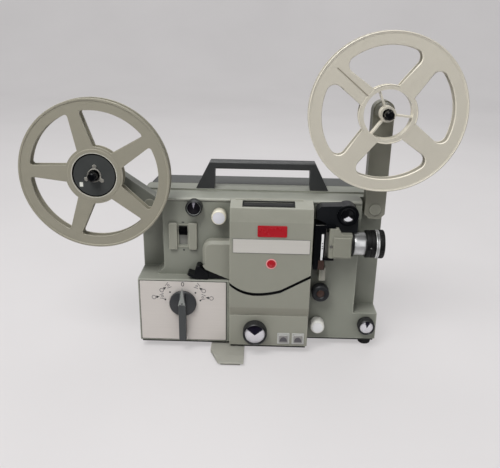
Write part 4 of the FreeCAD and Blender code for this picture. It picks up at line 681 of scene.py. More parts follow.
class Bench:
    """One mesh, shaped with edit-mode tools."""

    def __init__(self, name: str) -> None:
        """Names the piece to be made."""
        self.name = name
        self.piece: Piece = None

    @staticmethod
    def clear() -> None:
        """Leaves nothing selected, in object mode."""
        if bpy.context.object and bpy.context.object.mode != "OBJECT":
            bpy.ops.object.mode_set(mode="OBJECT")
        bpy.ops.object.select_all(action="DESELECT")

    @staticmethod
    def take(piece: Piece) -> None:
        """Selects a piece and makes it the active one."""
        bpy.context.view_layer.objects.active = piece
        piece.select_set(True)

    def adopt(self) -> "Bench":
        """Takes the active object as the piece and opens it in edit mode.

        Returns:
            This bench.
        """
        self.piece = bpy.context.object
        self.piece.name = self.name
        self.piece.data.name = self.name
        bpy.ops.object.transform_apply(location=True, rotation=True, scale=True)
        bpy.ops.object.mode_set(mode="EDIT")
        bpy.ops.mesh.select_mode(type="FACE")
        return self

    def block(self, low: Vector, high: Vector) -> "Bench":
        """Starts from a cube.

        Args:
            low: Its lowest corner, in metres.
            high: Its highest corner.

        Returns:
            This bench, open.
        """
        self.clear()
        bpy.ops.mesh.primitive_cube_add(size=1, location=(low + high) / 2, scale=high - low)
        return self.adopt()

    def disc(self, centre: Vector, radius: float, sides: int) -> "Bench":
        """Starts from a filled circle that faces against Y.

        Args:
            centre: Its centre, in metres.
            radius: Its radius, in metres.
            sides: Points round it.

        Returns:
            This bench, open.
        """
        self.clear()
        bpy.ops.mesh.primitive_circle_add(vertices=sides, radius=radius, fill_type="NGON", location=centre,
                                          rotation=(math.pi / 2, 0, 0))
        return self.adopt()

    def whole(self) -> "Bench":
        """Selects all of it."""
        bpy.ops.mesh.select_all(action="SELECT")
        return self

    def chain(self, points: Sequence[Vector], face: bool = False) -> "Bench":
        """Starts from a plane that is merged to one point and drawn out to the next ones.

        Args:
            points: The points in order, in metres.
            face: Closes them to a face.

        Returns:
            This bench, open.
        """
        self.clear()
        bpy.ops.mesh.primitive_plane_add(size=MM, location=points[0])
        self.adopt()
        bpy.ops.mesh.select_mode(type="VERT")
        self.whole()
        bpy.ops.mesh.merge(type="CENTER")
        self.whole()
        for start, end in zip(points, points[1:]):
            bpy.ops.mesh.extrude_vertices_move(TRANSFORM_OT_translate={"value": end - start})
        self.whole()
        if face:
            bpy.ops.mesh.edge_face_add()
        bpy.ops.mesh.select_mode(type="FACE")
        return self

    def lathe(self, profile: Pairs, centre: Vector, axis: Axis = Axis.Y, steps: int = 64,
              closed: bool = False) -> "Bench":
        """Turns a profile round a centre.

        Args:
            profile: Pairs of radius and place along the axis, in millimetres.
            centre: A point of the axis, in metres.
            axis: Direction of the axis.
            steps: Facets round it.
            closed: Joins the profile's last point to its first one.

        Returns:
            This bench, open.
        """
        if closed:
            profile = [*profile, profile[0]]
        if axis is Axis.Y:
            points = [Vector((centre.x + r * MM, along * MM, centre.z)) for r, along in profile]
        elif axis is Axis.X:
            points = [Vector((along * MM, centre.y, centre.z + r * MM)) for r, along in profile]
        else:
            points = [Vector((centre.x + r * MM, centre.y, along * MM)) for r, along in profile]
        self.chain(points)
        self.whole()
        bpy.ops.mesh.spin(steps=steps, angle=FULL_TURN, center=centre, axis=axis.value)
        self.tidy()
        return self

    def tidy(self) -> "Bench":
        """Merges doubles and turns all faces outwards.

        Returns:
            This bench.
        """
        self.whole()
        bpy.ops.mesh.remove_doubles(threshold=WELD)
        self.whole()
        bpy.ops.mesh.normals_make_consistent(inside=False)
        return self

    def pick(self, test: Place, edges: bool = False, corner: float = 0.0) -> "Bench":
        """Selects the faces, or edges, whose centre and normal, or run, pass a test.

        Args:
            test: Says yes or no to a centre and a direction.
            edges: Edges instead of faces.
            corner: Least angle between an edge's two faces, in degrees.

        Returns:
            This bench.
        """
        bpy.ops.mesh.select_mode(type="EDGE" if edges else "FACE")
        bpy.ops.mesh.select_all(action="DESELECT")
        mesh = bmesh.from_edit_mesh(self.piece.data)
        if edges:
            for edge in mesh.edges:
                first, last = edge.verts[0].co, edge.verts[1].co
                sharp = edge.calc_face_angle(0.0) >= math.radians(corner)
                edge.select_set(sharp and test((first + last) / 2 / MM, (last - first).normalized()))
        else:
            for face in mesh.faces:
                face.select_set(test(face.calc_center_median() / MM, face.normal))
        mesh.select_flush_mode()
        bmesh.update_edit_mesh(self.piece.data)
        return self

    def draw(self, x: float = 0, y: float = 0, z: float = 0) -> "Bench":
        """Extrudes what is selected by millimetres."""
        bpy.ops.mesh.extrude_region_move(TRANSFORM_OT_translate={"value": spot(x, y, z)})
        return self

    def inset(self, width: float, depth: float = 0.0, single: bool = False) -> "Bench":
        """Insets the selected faces, together or each on its own, and pushes them in or out."""
        bpy.ops.mesh.inset(thickness=width * MM, depth=depth * MM, use_individual=single)
        return self

    def round(self, width: float, segments: int = 2) -> "Bench":
        """Bevels the selected edges."""
        bpy.ops.mesh.bevel(offset=width * MM, segments=segments, affect="EDGES")
        return self

    def scale(self, x: float = 1, y: float = 1, z: float = 1, centre: Vector | None = None) -> "Bench":
        """Scales what is selected."""
        bpy.ops.transform.resize(value=(x, y, z), center_override=centre)
        return self

    def done(self, finish: Finish, body: str, slot: str, bevel: float = 0.0, angle: float = 35.0,
             segments: int = 2) -> Piece:
        """Ends the work on a piece.

        Args:
            finish: What it is dressed in.
            body: Body that carries it.
            slot: Material slot of the record; not used.
            bevel: Width of the edge rounding, in millimetres.
            angle: Edges sharper than this stay sharp, and are rounded, in degrees.
            segments: Facets of the rounding.

        Returns:
            The finished object.
        """
        self.clear()
        self.take(self.piece)
        if bevel:
            rounding = self.piece.modifiers.new("rounding", "BEVEL")
            rounding.width = bevel * MM
            rounding.segments = segments
            rounding.limit_method = "ANGLE"
            rounding.angle_limit = math.radians(angle)
            rounding.harden_normals = False
            bpy.ops.object.modifier_apply(modifier=rounding.name)
            weights = self.piece.modifiers.new("weights", "WEIGHTED_NORMAL")
            weights.keep_sharp = True
            bpy.ops.object.shade_smooth_by_angle(angle=SMOOTH)
            bpy.ops.object.modifier_apply(modifier=weights.name)
        else:
            bpy.ops.object.shade_smooth_by_angle(angle=math.radians(angle))
        self.piece.data.materials.clear()
        self.piece.data.materials.append(finish.material())
        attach(self.piece, body)
        LOG.info("%s: %d faces, on %s", self.name, len(self.piece.data.polygons), body)
        self.clear()
        return self.piece


class Frame:
    """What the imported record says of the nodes."""

    def __init__(self) -> None:
        """Reads bodies and material slots from the record."""
        record = frame["record"]
        self.body = {node: body for body, nodes in record["behaviour"]["bodies"].items() for node in nodes}
        self.slot = {part["node"]: part["material_slot"] for part in record["subparts"]}

    def dress(self, finish: Finish, *nodes: str) -> None:
        """Gives CAD nodes that keep their shape a finish.

        Args:
            finish: What they are dressed in.
            nodes: The nodes' names.
        """
        for node in nodes:
            mesh = frame["nodes"][node].data
            mesh.materials.clear()
            mesh.materials.append(finish.material())
            LOG.info("%s: dressed in %s", node, finish.name)

    @staticmethod
    def box(node: str) -> tuple[Vector, Vector]:
        """Lowest and highest corner of a node's box, in millimetres."""
        low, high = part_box(node)
        return low / MM, high / MM

    def copy(self, node: str, name: str) -> Bench:
        """Merges a copy of a node and opens it.

        Args:
            node: The CAD node.
            name: The copy's name.

        Returns:
            The copy on its bench, in edit mode.
        """
        bench = Bench(name)
        bench.clear()
        twin = frame["nodes"][node].copy()
        twin.data = twin.data.copy()
        twin.parent = None
        for key in list(twin.keys()):
            del twin[key]
        bpy.context.scene.collection.objects.link(twin)
        bench.take(twin)
        bench.adopt()
        bpy.ops.mesh.customdata_custom_splitnormals_clear()
        bench.whole()
        bpy.ops.mesh.remove_doubles(threshold=2 * WELD)
        return bench

    def behind(self, node: str, y: float, finish: Finish) -> Piece:
        """Keeps what lies behind a plane across Y.

        Args:
            node: The CAD node.
            y: Place of the plane, in millimetres.
            finish: What the rest is dressed in.

        Returns:
            The finished piece.
        """
        bench = self.copy(node, node + "_shaft").whole()
        bpy.ops.mesh.bisect(plane_co=spot(0, y, 0), plane_no=(0, 1, 0), use_fill=True, clear_inner=True)
        bench.tidy()
        return bench.done(finish, self.body[node], self.slot[node])

    def soften(self, node: str, finish: Finish, bevel: float, segments: int = 2, angle: float = 35.0,
               first: Callable[[Bench], None] | None = None) -> Piece:
        """Copies a node, rounds the copy's edges and lets it stand for the node.

        Args:
            node: The CAD node.
            finish: What the copy is dressed in.
            bevel: Width of the rounding, in millimetres.
            segments: Facets of the rounding.
            angle: Edges sharper than this are rounded, in degrees.
            first: Work on the open copy before its edges are rounded.

        Returns:
            The finished copy.
        """
        bench = self.copy(node, node + "_body")
        bpy.ops.mesh.dissolve_limited(angle_limit=math.radians(0.5))
        if first:
            first(bench)
        piece = bench.done(finish, self.body[node], self.slot[node], bevel, angle, segments)
        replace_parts(piece, node)
        return piece


NODES = Frame()


def copied(piece: Piece, name: str, change: Matrix, body: str) -> Piece:
    """Copies a finished piece with its own mesh.

    Args:
        piece: The piece to copy.
        name: The copy's name.
        change: Where the copy goes, from the piece's place.
        body: Body that carries it.

    Returns:
        The copy.
    """
    twin = piece.copy()
    twin.data = piece.data.copy()
    twin.parent = None
    twin.name = name
    twin.data.name = name
    twin.matrix_world = Matrix.Identity(4)
    twin.data.transform(change)
    bpy.context.scene.collection.objects.link(twin)
    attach(twin, body)
    return twin


def turned(angle: float, centre: Vector, axis: Axis) -> Matrix:
    """Turn by degrees round an axis through a centre."""
    turn = Matrix.Rotation(math.radians(angle), 4, Vector(axis.value))
    return Matrix.Translation(centre) @ turn @ Matrix.Translation(-centre)


def joined(name: str, pieces: Sequence[Piece]) -> Piece:
    """Joins pieces into the first one.

    Args:
        name: Name of the whole.
        pieces: Finished pieces on one body.

    Returns:
        The whole.
    """
    Bench.clear()
    for piece in reversed(pieces):
        Bench.take(piece)
    bpy.ops.object.join()
    pieces[0].name = name
    Bench.clear()
    return pieces[0]


def polar(middle: tuple, radius: float, angle: float) -> tuple:
    """Point at an angle in degrees round a middle."""
    turn = math.radians(angle)
    return (middle[0] + radius * math.cos(turn), middle[1] + radius * math.sin(turn))


def arc(centre: tuple, radius: float, start: float, end: float, count: int) -> list[tuple]:
    """Points along an arc, as pairs, from one angle to another in degrees."""
    return [polar(centre, radius, start + (end - start) * i / count) for i in range(count + 1)]


def along(place: float, *pairs: Span) -> list[tuple]:
    """Profile whose second numbers are counted from a place along the axis."""
    return [(radius, place + step) for radius, step in pairs]


def rounded_outline(x0: float, x1: float, z0: float, z1: float, radius: float) -> list[tuple]:
    """Rectangle with rounded corners.

    Args:
        x0: Left side.
        x1: Right side.
        z0: Lower side.
        z1: Upper side.
        radius: Radius of the corners.

    Returns:
        Its (x, z) pairs.
    """
    points = []
    for x, z, start in ((x1 - radius, z1 - radius, 0), (x0 + radius, z1 - radius, 90),
                        (x0 + radius, z0 + radius, 180), (x1 - radius, z0 + radius, 270)):
        points += arc((x, z), radius, start, start + 90, 4)
    return points


def plate(name: str, outline: Pairs, y0: float, y1: float) -> Bench:
    """Flat piece with an (x, z) outline, from its front y0 to its back y1."""
    return Bench(name).chain([spot(x, y1, z) for x, z in outline], face=True).draw(y=y0 - y1).tidy()


# Stage


@dataclass
class Stage:
    """Floor, backdrop, lights and camera."""

    eye: tuple[float, float, float] = (140.8, -689.4, 399.9)
    pitch: float = 19.94
    yaw: float = -1.06
    roll: float = 1.01
    lens: float = 41.64
    sensor: float = 36.0
    aim: tuple[float, float, float] = (140, 0, 150)
    half: float = 4000.0
    fold: float = 1500.0
    cloth_end: float = -0.24
    lamps: tuple = (("key", (-350, -950, 1650), 0.9, 27.0), ("fill", (1200, -1300, 700), 1.4, 4.0),
                    ("back", (200, 900, 1600), 1.4, 12.0))

    def build(self) -> None:
        """Makes all of it."""
        bpy.context.scene.view_settings.view_transform = "Standard"
        self.floor()
        self.world()
        for name, place, size, power in self.lamps:
            self.lamp(name, place, size, power)
        self.camera()

    def floor(self) -> None:
        """Sheet that runs along the table and up behind."""
        bench = Bench("floor")
        bench.clear()
        bpy.ops.mesh.primitive_plane_add(size=2 * self.half * MM, location=(0, 0, 0))
        bench.adopt()
        far = self.half - 100
        bench.pick(lambda middle, run: middle.y > far, edges=True).draw(z=self.half)
        bench.pick(lambda middle, run: middle.y > far and middle.z < 1, edges=True).round(self.fold, 12)
        bench.clear()
        sheet = bench.piece
        bench.take(sheet)
        bpy.ops.object.shade_smooth_by_angle(angle=SMOOTH)
        bpy.ops.object.mode_set(mode="EDIT")
        bench.pick(lambda middle, normal: max(abs(normal.y), abs(normal.z)) > 0.9999)
        bpy.ops.mesh.faces_shade_flat()
        bench.clear()
        sheet.data.materials.append(self.cloth())
        Bench.clear()

    def cloth(self) -> bpy.types.Material:
        """White cloth, lit a little from itself towards the camera and dark to mirrors in front.

        Returns:
            The material.
        """
        made = bpy.data.materials.new("table_cloth")
        made.use_nodes = True
        graph = Graph(made.node_tree)
        tone = graph.mix(graph.noise(2.2, 4), linear((219, 216, 216)), linear((230, 227, 227)))
        matt = graph.node("ShaderNodeBsdfPrincipled", {}, {"Base Color": tone, "Roughness": 0.85,
                                                           "Specular IOR Level": 0.1})
        glow = graph.node("ShaderNodeEmission", {}, {"Color": tone, "Strength": 0.95})
        shown = graph.blend(graph.ray("Camera") * 0.62, matt, glow)
        near = graph.part(graph.coords(), "Y")
        beyond = ((self.cloth_end - near) * 14.0).clamp() * graph.ray("Glossy")
        dark = graph.node("ShaderNodeEmission", {}, {"Color": (0.03, 0.03, 0.035, 1.0), "Strength": 1.0})
        graph.end(graph.blend(beyond, shown, dark))
        return made

    def world(self) -> None:
        """Even light, with a dark room behind the operator for what is glossy."""
        sky = bpy.data.worlds.new("studio")
        sky.use_nodes = True
        bpy.context.scene.world = sky
        graph = Graph(sky.node_tree)
        height = graph.part(graph.node("ShaderNodeTexCoord", {}, {}, "Generated"), "Z")
        ceiling = graph.ramp(height, (0.0, 0.05), (0.50, 0.06), (0.80, 0.35), (1.0, 0.45))
        even = graph.node("ShaderNodeBackground", {}, {"Color": (0.93, 0.95, 1.0, 1.0), "Strength": 0.26})
        bright = graph.node("ShaderNodeBackground", {}, {"Color": ceiling, "Strength": 1.0})
        wall = graph.node("ShaderNodeBackground", {}, {"Color": (0.50, 0.49, 0.495, 1.0), "Strength": 1.0})
        mixed = graph.blend(graph.ray("Camera"), graph.blend(graph.ray("Glossy"), even, bright), wall)
        made = graph.tree.nodes.new("ShaderNodeOutputWorld")
        graph.tree.links.new(mixed.socket, made.inputs["Surface"])

    def lamp(self, name: str, place: tuple[float, float, float], size: float, power: float) -> None:
        """Square soft lamp that points at the projector.

        Args:
            name: The lamp's name.
            place: Where it hangs, in millimetres.
            size: Its side, in metres.
            power: Its power, in watts.
        """
        data = bpy.data.lights.new(name, "AREA")
        data.shape = "SQUARE"
        data.size = size
        data.energy = power
        lamp = bpy.data.objects.new(name, data)
        bpy.context.scene.collection.objects.link(lamp)
        lamp.location = spot(*place)
        lamp.rotation_euler = (spot(*self.aim) - lamp.location).to_track_quat("-Z", "Y").to_euler()

    def camera(self) -> None:
        """Camera at the photograph's place, with its slight roll."""
        pitch, yaw, roll = (math.radians(angle) for angle in (self.pitch, self.yaw, self.roll))
        ahead = Vector((math.sin(yaw) * math.cos(pitch), math.cos(yaw) * math.cos(pitch), -math.sin(pitch)))
        level = Vector((math.cos(yaw), -math.sin(yaw), 0))
        down = ahead.cross(level)
        right = math.cos(roll) * level - math.sin(roll) * down
        below = math.sin(roll) * level + math.cos(roll) * down
        data = bpy.data.cameras.new("camera")
        data.lens = self.lens
        data.sensor_width = self.sensor
        camera = bpy.data.objects.new("camera", data)
        bpy.context.scene.collection.objects.link(camera)
        turn = Matrix((right, -below, -ahead)).transposed().to_4x4()
        camera.matrix_world = Matrix.Translation(spot(*self.eye)) @ turn
        bpy.context.scene.camera = camera


# Shared small forms


def prism_x(name: str, outline: Pairs, x0: float, x1: float) -> Bench:
    """Bar with a (y, z) outline, from x0 to x1."""
    return Bench(name).chain([spot(x0, y, z) for y, z in outline], face=True).draw(x=x1 - x0).tidy()


def prism_z(name: str, outline: Pairs, z0: float, z1: float) -> Bench:
    """Bar with an (x, y) outline, from z0 to z1."""
    return Bench(name).chain([spot(x, y, z0) for x, y in outline], face=True).draw(z=z1 - z0).tidy()


def rectangle(x0: float, x1: float, z0: float, z1: float) -> list[tuple]:
    """Corners of a rectangle."""
    return [(x0, z0), (x1, z0), (x1, z1), (x0, z1)]


def framed(bench: Bench, width: float, rise: float) -> Bench:
    """Cuts the middle out of a face and draws what is left along Y.

    Args:
        bench: The face, open and selected.
        width: Width that is left.
        rise: Where it is drawn to.

    Returns:
        The bench, still open.
    """
    bench.inset(width)
    bpy.ops.mesh.delete(type="FACE")
    return bench.whole().draw(y=rise).tidy()


def hoop(name: str, x: float, z: float, reach: Span, line: float, y0: float, y1: float) -> Bench:
    """Flat oval ring that faces the operator.

    Args:
        name: The piece's name.
        x: Middle across.
        z: Middle height.
        reach: Half of its width and of its height, outside.
        line: Width of the ring.
        y0: Front.
        y1: Back.

    Returns:
        The bench, still open.
    """
    bench = Bench(name).disc(spot(x, y1, z), MM, 36)
    bench.scale(reach[0], 1, reach[1], spot(x, y1, z))
    return framed(bench.whole(), line, y0 - y1)


def frame_ring(name: str, outer: Pairs, width: float, y0: float, y1: float) -> Bench:
    """Flat frame inside an (x, z) outline, of a width, from its front y0 to its back y1."""
    return framed(Bench(name).chain([spot(x, y1, z) for x, z in outer], face=True), width, y0 - y1)


def through(first: tuple, middle: tuple, last: tuple, count: int) -> list[tuple]:
    """Points on the circle through three points.

    Args:
        first: Where the arc starts.
        middle: A point on its way.
        last: Where it ends.
        count: Steps between start and end.

    Returns:
        The points in order.
    """
    (ax, az), (bx, bz), (cx, cz) = first, middle, last
    d = 2 * (ax * (bz - cz) + bx * (cz - az) + cx * (az - bz))
    a, b, c = ax * ax + az * az, bx * bx + bz * bz, cx * cx + cz * cz
    ux = (a * (bz - cz) + b * (cz - az) + c * (az - bz)) / d
    uz = (a * (cx - bx) + b * (ax - cx) + c * (bx - ax)) / d
    start = math.degrees(math.atan2(az - uz, ax - ux))
    sweep = (math.degrees(math.atan2(cz - uz, cx - ux)) - start + 180) % 360 - 180
    return arc((ux, uz), math.hypot(ax - ux, az - uz), start, start + sweep, count)


def facing_front(middle: Vector, normal: Vector) -> bool:
    """Whether a face looks at the operator."""
    return normal.y < -0.9


def stroke(start: tuple, end: tuple, half: float, turn: float) -> list[tuple]:
    """Outline of a straight line of ink or of a groove.

    Args:
        start: Its start.
        end: Its end.
        half: Half of its width.
        turn: Direction across it, in degrees.

    Returns:
        Its four corners.
    """
    x, z = polar((0, 0), half, turn)
    return [(start[0] - x, start[1] - z), (end[0] - x, end[1] - z), (end[0] + x, end[1] + z),
            (start[0] + x, start[1] + z)]


def ribbed(bench: Bench, count: int, axis: Axis, centre: Vector, radius: float, depth: float,
           span: Span) -> Bench:
    """Sinks every second facet of a turned side.

    Args:
        bench: The open bench.
        count: Number of facets round the piece.
        axis: Axis of the turning.
        centre: Its centre.
        radius: Radius of the side, in millimetres.
        depth: How far the facets sink.
        span: Stretch along the axis that is worked on.

    Returns:
        The bench.
    """
    step = FULL_TURN / count

    def every_second(middle: Vector, normal: Vector) -> bool:
        """Tells the facets to sink.

        Args:
            middle: A facet's centre.
            normal: Its normal.

        Returns:
            Whether it is every second one of the side.
        """
        reach = middle - centre / MM
        if axis is Axis.Y:
            across, along, turn = math.hypot(reach.x, reach.z), middle.y, math.atan2(reach.z, reach.x)
        else:
            across, along, turn = math.hypot(reach.y, reach.z), middle.x, math.atan2(reach.z, reach.y)
        return span[0] < along < span[1] and across > radius - 0.25 and int(turn % FULL_TURN / step) % 2 == 0

    return bench.pick(every_second).inset(0.1, -depth, single=True)


# Case


@dataclass
class Case:
    """Housing, rear shell, handle, feet and the swing-out foot."""

    foot_radius: float = 8.5
    screw_radius: float = 4.0
    slot: Span = (2.3, 0.45)
    recess: float = 32.0

    def build(self) -> None:
        """Builds the case."""
        NODES.soften("main_housing", HOUSING, 0.6, segments=3)
        NODES.soften("rear_cover", REAR, 0.8, segments=3)
        NODES.soften("carry_handle", HANDLE, 1.4, segments=3)
        NODES.soften("support_foot", FOOT_PAINT, 1.2, segments=3)
        NODES.soften("base_plate", BASE_PAINT, 0.5)
        self.feet()
        self.screws()
        self.ledge()
        self.brow()

    def feet(self) -> None:
        """Turned rubber feet with a dished sole and a washer."""
        low, high = NODES.box("rubber_feet")
        r = self.foot_radius
        made = []
        for x in (low.x + r, high.x - r):
            for y in (low.y + r, high.y - r):
                centre = spot(x, y, 0)
                foot = Bench(f"foot_{len(made)}").lathe(
                    [(0, 1.2), (r - 3.4, 1.2), (r - 2.6, 0.2), (r - 1.4, 0), (r - 0.5, 0.8), (r - 0.2, 2.6),
                     (r, 8.2), (r - 0.5, 9), (0, 9)], centre, Axis.Z, 40)
                made.append(foot.done(RUBBER, "housing", "foot_rubber", angle=50))
        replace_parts(joined("feet", made), "rubber_feet")

    def screws(self) -> None:
        """Cross-head screws of the rear shell."""
        low, high = NODES.box("case_screws")
        head, y = self.screw_radius, high.y
        length, width = self.slot
        profile = along(y, (0, -1.6), (head, -1.6), (head, -0.7), (head * 0.8, -0.2), (0, 0))
        screws = []
        for x in (low.x + head, high.x - head):
            for z in (low.z + head, high.z - head):
                bench = Bench(f"case_screw_{len(screws)}").lathe(profile, spot(x, 0, z), steps=24)
                screws.append(bench.done(STEEL, "housing", "steel", angle=40))
                for turn in (0, 90):
                    # Painted shade: a matt black cross stands for the shaded cross recess.
                    cross = Bench(f"screw_cross_{len(screws)}_{turn}").block(
                        spot(x - length, y - 0.25, z - width), spot(x + length, y + 0.04, z + width))
                    cross.tidy()
                    bpy.ops.transform.rotate(value=math.radians(turn + 20), orient_axis="Y",
                                             center_override=spot(x, y, z))
                    screws.append(cross.done(LINING_AND_SHADE, "housing", "steel"))
        NODES.dress(STEEL, "case_screws")
        joined("screw_heads", screws)

    def ledge(self) -> None:
        """Fine line along the seam of the two shells, on top and at the sides."""
        y = CASE.seam
        prism_x("seam_line_top", rectangle(y - 0.7, y + 0.1, CASE.top - 0.4, CASE.top + 0.05),
                CASE.left + 6, CASE.right - 6).done(LINING_AND_SHADE, "housing", "base_dark")
        for name, x in (("left", CASE.left), ("right", CASE.right)):
            prism_z(f"seam_line_{name}", rectangle(x - 0.05, x + 0.05, y - 0.7, y + 0.1), CASE.base + 1,
                    CASE.top - 6).done(LINING_AND_SHADE, "housing", "base_dark")

    def brow(self) -> None:
        """Rounded lip along the top front edge, with a gap for the lamp cover; its paint is paler as a painted
        highlight, and a dark line under it is painted shade.
        """
        cover_low, cover_high = NODES.box("lamp_cover")
        bead = arc((CASE.front + 0.7, CASE.top - 2.2), 1.9, 60, 240, 8)
        outline = [*bead, (CASE.front + 1.5, CASE.top - 3.6), (CASE.front + 2.4, CASE.top - 0.5)]
        for name, x0, x1 in (("left", CASE.left + self.recess, cover_low.x - 0.6),
                             ("right", cover_high.x + 0.6, CASE.right - self.recess)):
            # The lip's paint is paler than the housing's: a painted highlight.
            prism_x(f"brow_{name}", outline, x0, x1).done(LIT_BROW, "housing", "housing_paint", angle=40)
            # Painted shade: a dark line under the lip.
            plate(f"brow_shade_line_{name}", rectangle(x0, x1, CASE.top - 4.7, CASE.top - 3.9), CASE.front - 0.06,
                  CASE.front + 0.2).done(JOINT_AND_SHADE_LINE, "housing", "housing_paint")


@dataclass
class Back:
    """What shows on the rear: loudspeaker cone and mesh, and the socket field."""

    dust_cap: float = 10.0
    roll: float = 8.0
    socket: float = 6.7

    def build(self) -> None:
        """Builds the pieces behind the rear shell's openings."""
        low, high = NODES.box("loudspeaker")
        x, z = (low.x + high.x) / 2, (low.z + high.z) / 2
        y, r = high.y, (high.x - low.x) / 2
        cap, roll = self.dust_cap, r - self.roll
        cone = along(y, (0, -5.0), (cap / 2, -5.6), (cap - 0.5, -7.5), (cap, -9.0), (cap + 1, -9.6),
                     (roll, -2.2), (roll + 1.5, -1.2), (roll + 3, -2.2), (roll + 4, -1.2),
                     (roll + 4.8, -0.3), (r - 0.5, -0.3), (r - 0.5, -1.4))
        bench = Bench("speaker_cone").lathe(cone, spot(x, 0, z), steps=56)
        bench.done(PAPER, "housing", "black_plastic", angle=30)
        NODES.dress(STEEL_DARK, "loudspeaker")
        NODES.dress(BLACK, "socket_panel")
        self.cloth(x, y + 0.6, z, r - 1)
        self.sockets()

    @staticmethod
    def cloth(x: float, y: float, z: float, radius: float) -> None:
        """Fine grille cloth behind the loudspeaker's slots."""
        disc = [(0, y), (radius, y), (radius, y + 0.5), (0, y + 0.5)]
        Bench("speaker_cloth").lathe(disc, spot(x, 0, z), steps=48).done(LINING_AND_SHADE, "housing", "black_plastic")

    def sockets(self) -> None:
        """Chrome rims round the sockets."""
        y, r = NODES.box("socket_panel")[1].y, self.socket
        rim = along(y, (r, 0), (r + 1.5, 0), (r + 1.5, 0.5), (r + 1.0, 0.9), (r + 0.3, 0.9), (r, 0.6))
        for name in ("speaker_socket", "line_socket"):
            place = next(mount for mount in frame["record"]["mounts"] if mount["name"] == name)
            centre = Vector((place["pos_m"][0], 0, place["pos_m"][2]))
            Bench(name + "_rim").lathe(rim, centre, steps=40, closed=True).done(
                CHROME, "housing", "steel", angle=40)


# Control block


@dataclass
class ControlPanel:
    """Pale panel with printed marks round the function knob."""

    zero: Span = (45.3, 92.4)
    joint: float = 0.8
    dots: tuple = ((29.2, 81.0), (23.0, 70.6), (61.3, 80.9), (67.4, 70.4))
    signs: tuple = ((22.6, 86.5, 38), (13.4, 74.2, 8), (68.0, 86.7, 142), (76.6, 74.4, 172))

    def build(self) -> None:
        """Dresses the panel and prints on it."""
        NODES.soften("control_panel", PANEL, 0.3)
        low, high = NODES.box("control_panel")
        self.face = low.y
        gap = self.joint
        outer = rectangle(low.x - gap, high.x + gap, low.z - gap, high.z + gap)
        frame_ring("panel_joint", outer, gap, high.y - 0.12, high.y + 0.2).done(JOINT_AND_SHADE_LINE, "housing", "base_dark")
        self.print_marks()

    def print_marks(self) -> None:
        """Prints the zero, the dots and four small signs."""
        y0, y1 = self.face - 0.07, self.face + 0.1
        marks = [self.printed(hoop("zero_mark", *self.zero, (1.9, 3.0), 0.8, y0, y1), DARK_INK)]
        disc = [(0, y0), (1.15, y0), (1.15, y1), (0, y1)]
        for i, (x, z) in enumerate(self.dots):
            dot = Bench(f"dot_{i}").lathe(disc, spot(x, 0, z), steps=16)
            marks.append(self.printed(dot, DARK_INK))
        for i, (x, z, turn) in enumerate(self.signs):
            marks += self.sign(i, x, z, turn, y0, y1)
        joined("panel_print", marks)

    def sign(self, i: int, x: float, z: float, turn: float, y0: float, y1: float) -> list[Piece]:
        """Small sign: a spool, an arrow, a coil and two strokes in a row.

        Args:
            i: Number of the sign.
            x: Middle across.
            z: Middle height.
            turn: Direction of the row, in degrees.
            y0: Front of the ink.
            y1: Back of the ink.

        Returns:
            The sign's pieces.
        """
        spool, coil = polar((x, z), 4.8, turn + 180), polar((x, z), 6.2, turn + 2)
        tip, tail_a, tail_b = (polar((x, z), 2.5, turn + a) for a in (0, 130, 230))
        pieces = [self.printed(hoop(f"sign_spool_{i}", *spool, (2.8, 2.8), 0.7, y0, y1)),
                  self.printed(hoop(f"sign_coil_{i}", *coil, (1.5, 1.5), 0.6, y0, y1)),
                  self.printed(plate(f"sign_arrow_{i}", [tip, tail_a, tail_b], y0, y1), DARK_INK)]
        for j, side in enumerate((-1, 1)):
            end = polar((x, z), 9.0, turn + side * 24)
            start = polar((x, z), 3.4, turn + side * 38)
            outline = stroke(start, end, 0.36, turn + 90)
            pieces.append(self.printed(plate(f"sign_stroke_{i}_{j}", outline, y0, y1)))
        return pieces

    @staticmethod
    def printed(mark: Bench, ink: Finish = GREY_INK_AND_SHADE) -> Piece:
        """Finishes a mark of the panel."""
        return mark.done(ink, "housing", "panel_white")


@dataclass
class FunctionKnob:
    """Disc with a long lever and a pale pointer."""

    node: str = "function_knob"
    lever_width: float = 9.2
    lever_end: float = 18.6
    tip: float = 93.2
    base: float = 67.6

    def build(self) -> None:
        """Makes the disc, the lever and the pointer."""
        low, high = NODES.box(self.node)
        radius = (high.x - low.x) / 2
        x, z, front = (low.x + high.x) / 2, high.z - radius, low.y
        centre = spot(x, 0, z)
        NODES.behind(self.node, front + 11.2, STEEL_DARK)
        disc = along(front, (0, 5.8), (radius - 2.4, 5.8), (radius - 0.9, 6.3), (radius, 7.4),
                     (radius, 10.4), (radius - 0.6, 11.1), (0, 11.1))
        base = Bench("function_disc").lathe(disc, centre, steps=96)
        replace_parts(base.done(FUNCTION_DISC, "function", "lever_grey", angle=30), self.node)
        half, end, top = self.lever_width / 2, self.lever_end, z + radius - 1.4
        outline = [(x - half, end + 1.0), (x - half + 1.0, end), (x + half - 1.0, end), (x + half, end + 1.0),
                   (x + half, z - 2), (x + 3.0, top), (x - 3.0, top), (x - half, z - 2)]
        plate("function_lever", outline, front, front + 7.0).done(LEVER, "function", "lever_grey", 0.9, 30, 3)
        pointer = [(x + 0.6, self.tip), (x - 5.0, self.base), (x + 4.4, self.base - 0.8)]
        ridge = plate("function_pointer", pointer, front + 0.1, front + 1.0)
        ridge.pick(facing_front)
        bpy.ops.mesh.poke(offset=0.7 * MM)
        ridge.done(POINTER, "function", "white_plastic", angle=10)
        pin = along(front, (0, -0.7), (0.8, -0.65), (1.1, -0.3), (1.1, 0.4), (0, 0.4))
        Bench("pointer_pin").lathe(pin, spot(x, 0, self.base + 3.0), steps=20).done(
            LEVER, "function", "lever_grey")


class Cap(Enum):
    """What the front of a knob is."""

    CHROME = "chrome"
    IVORY = "ivory"
    WHITE = "white"


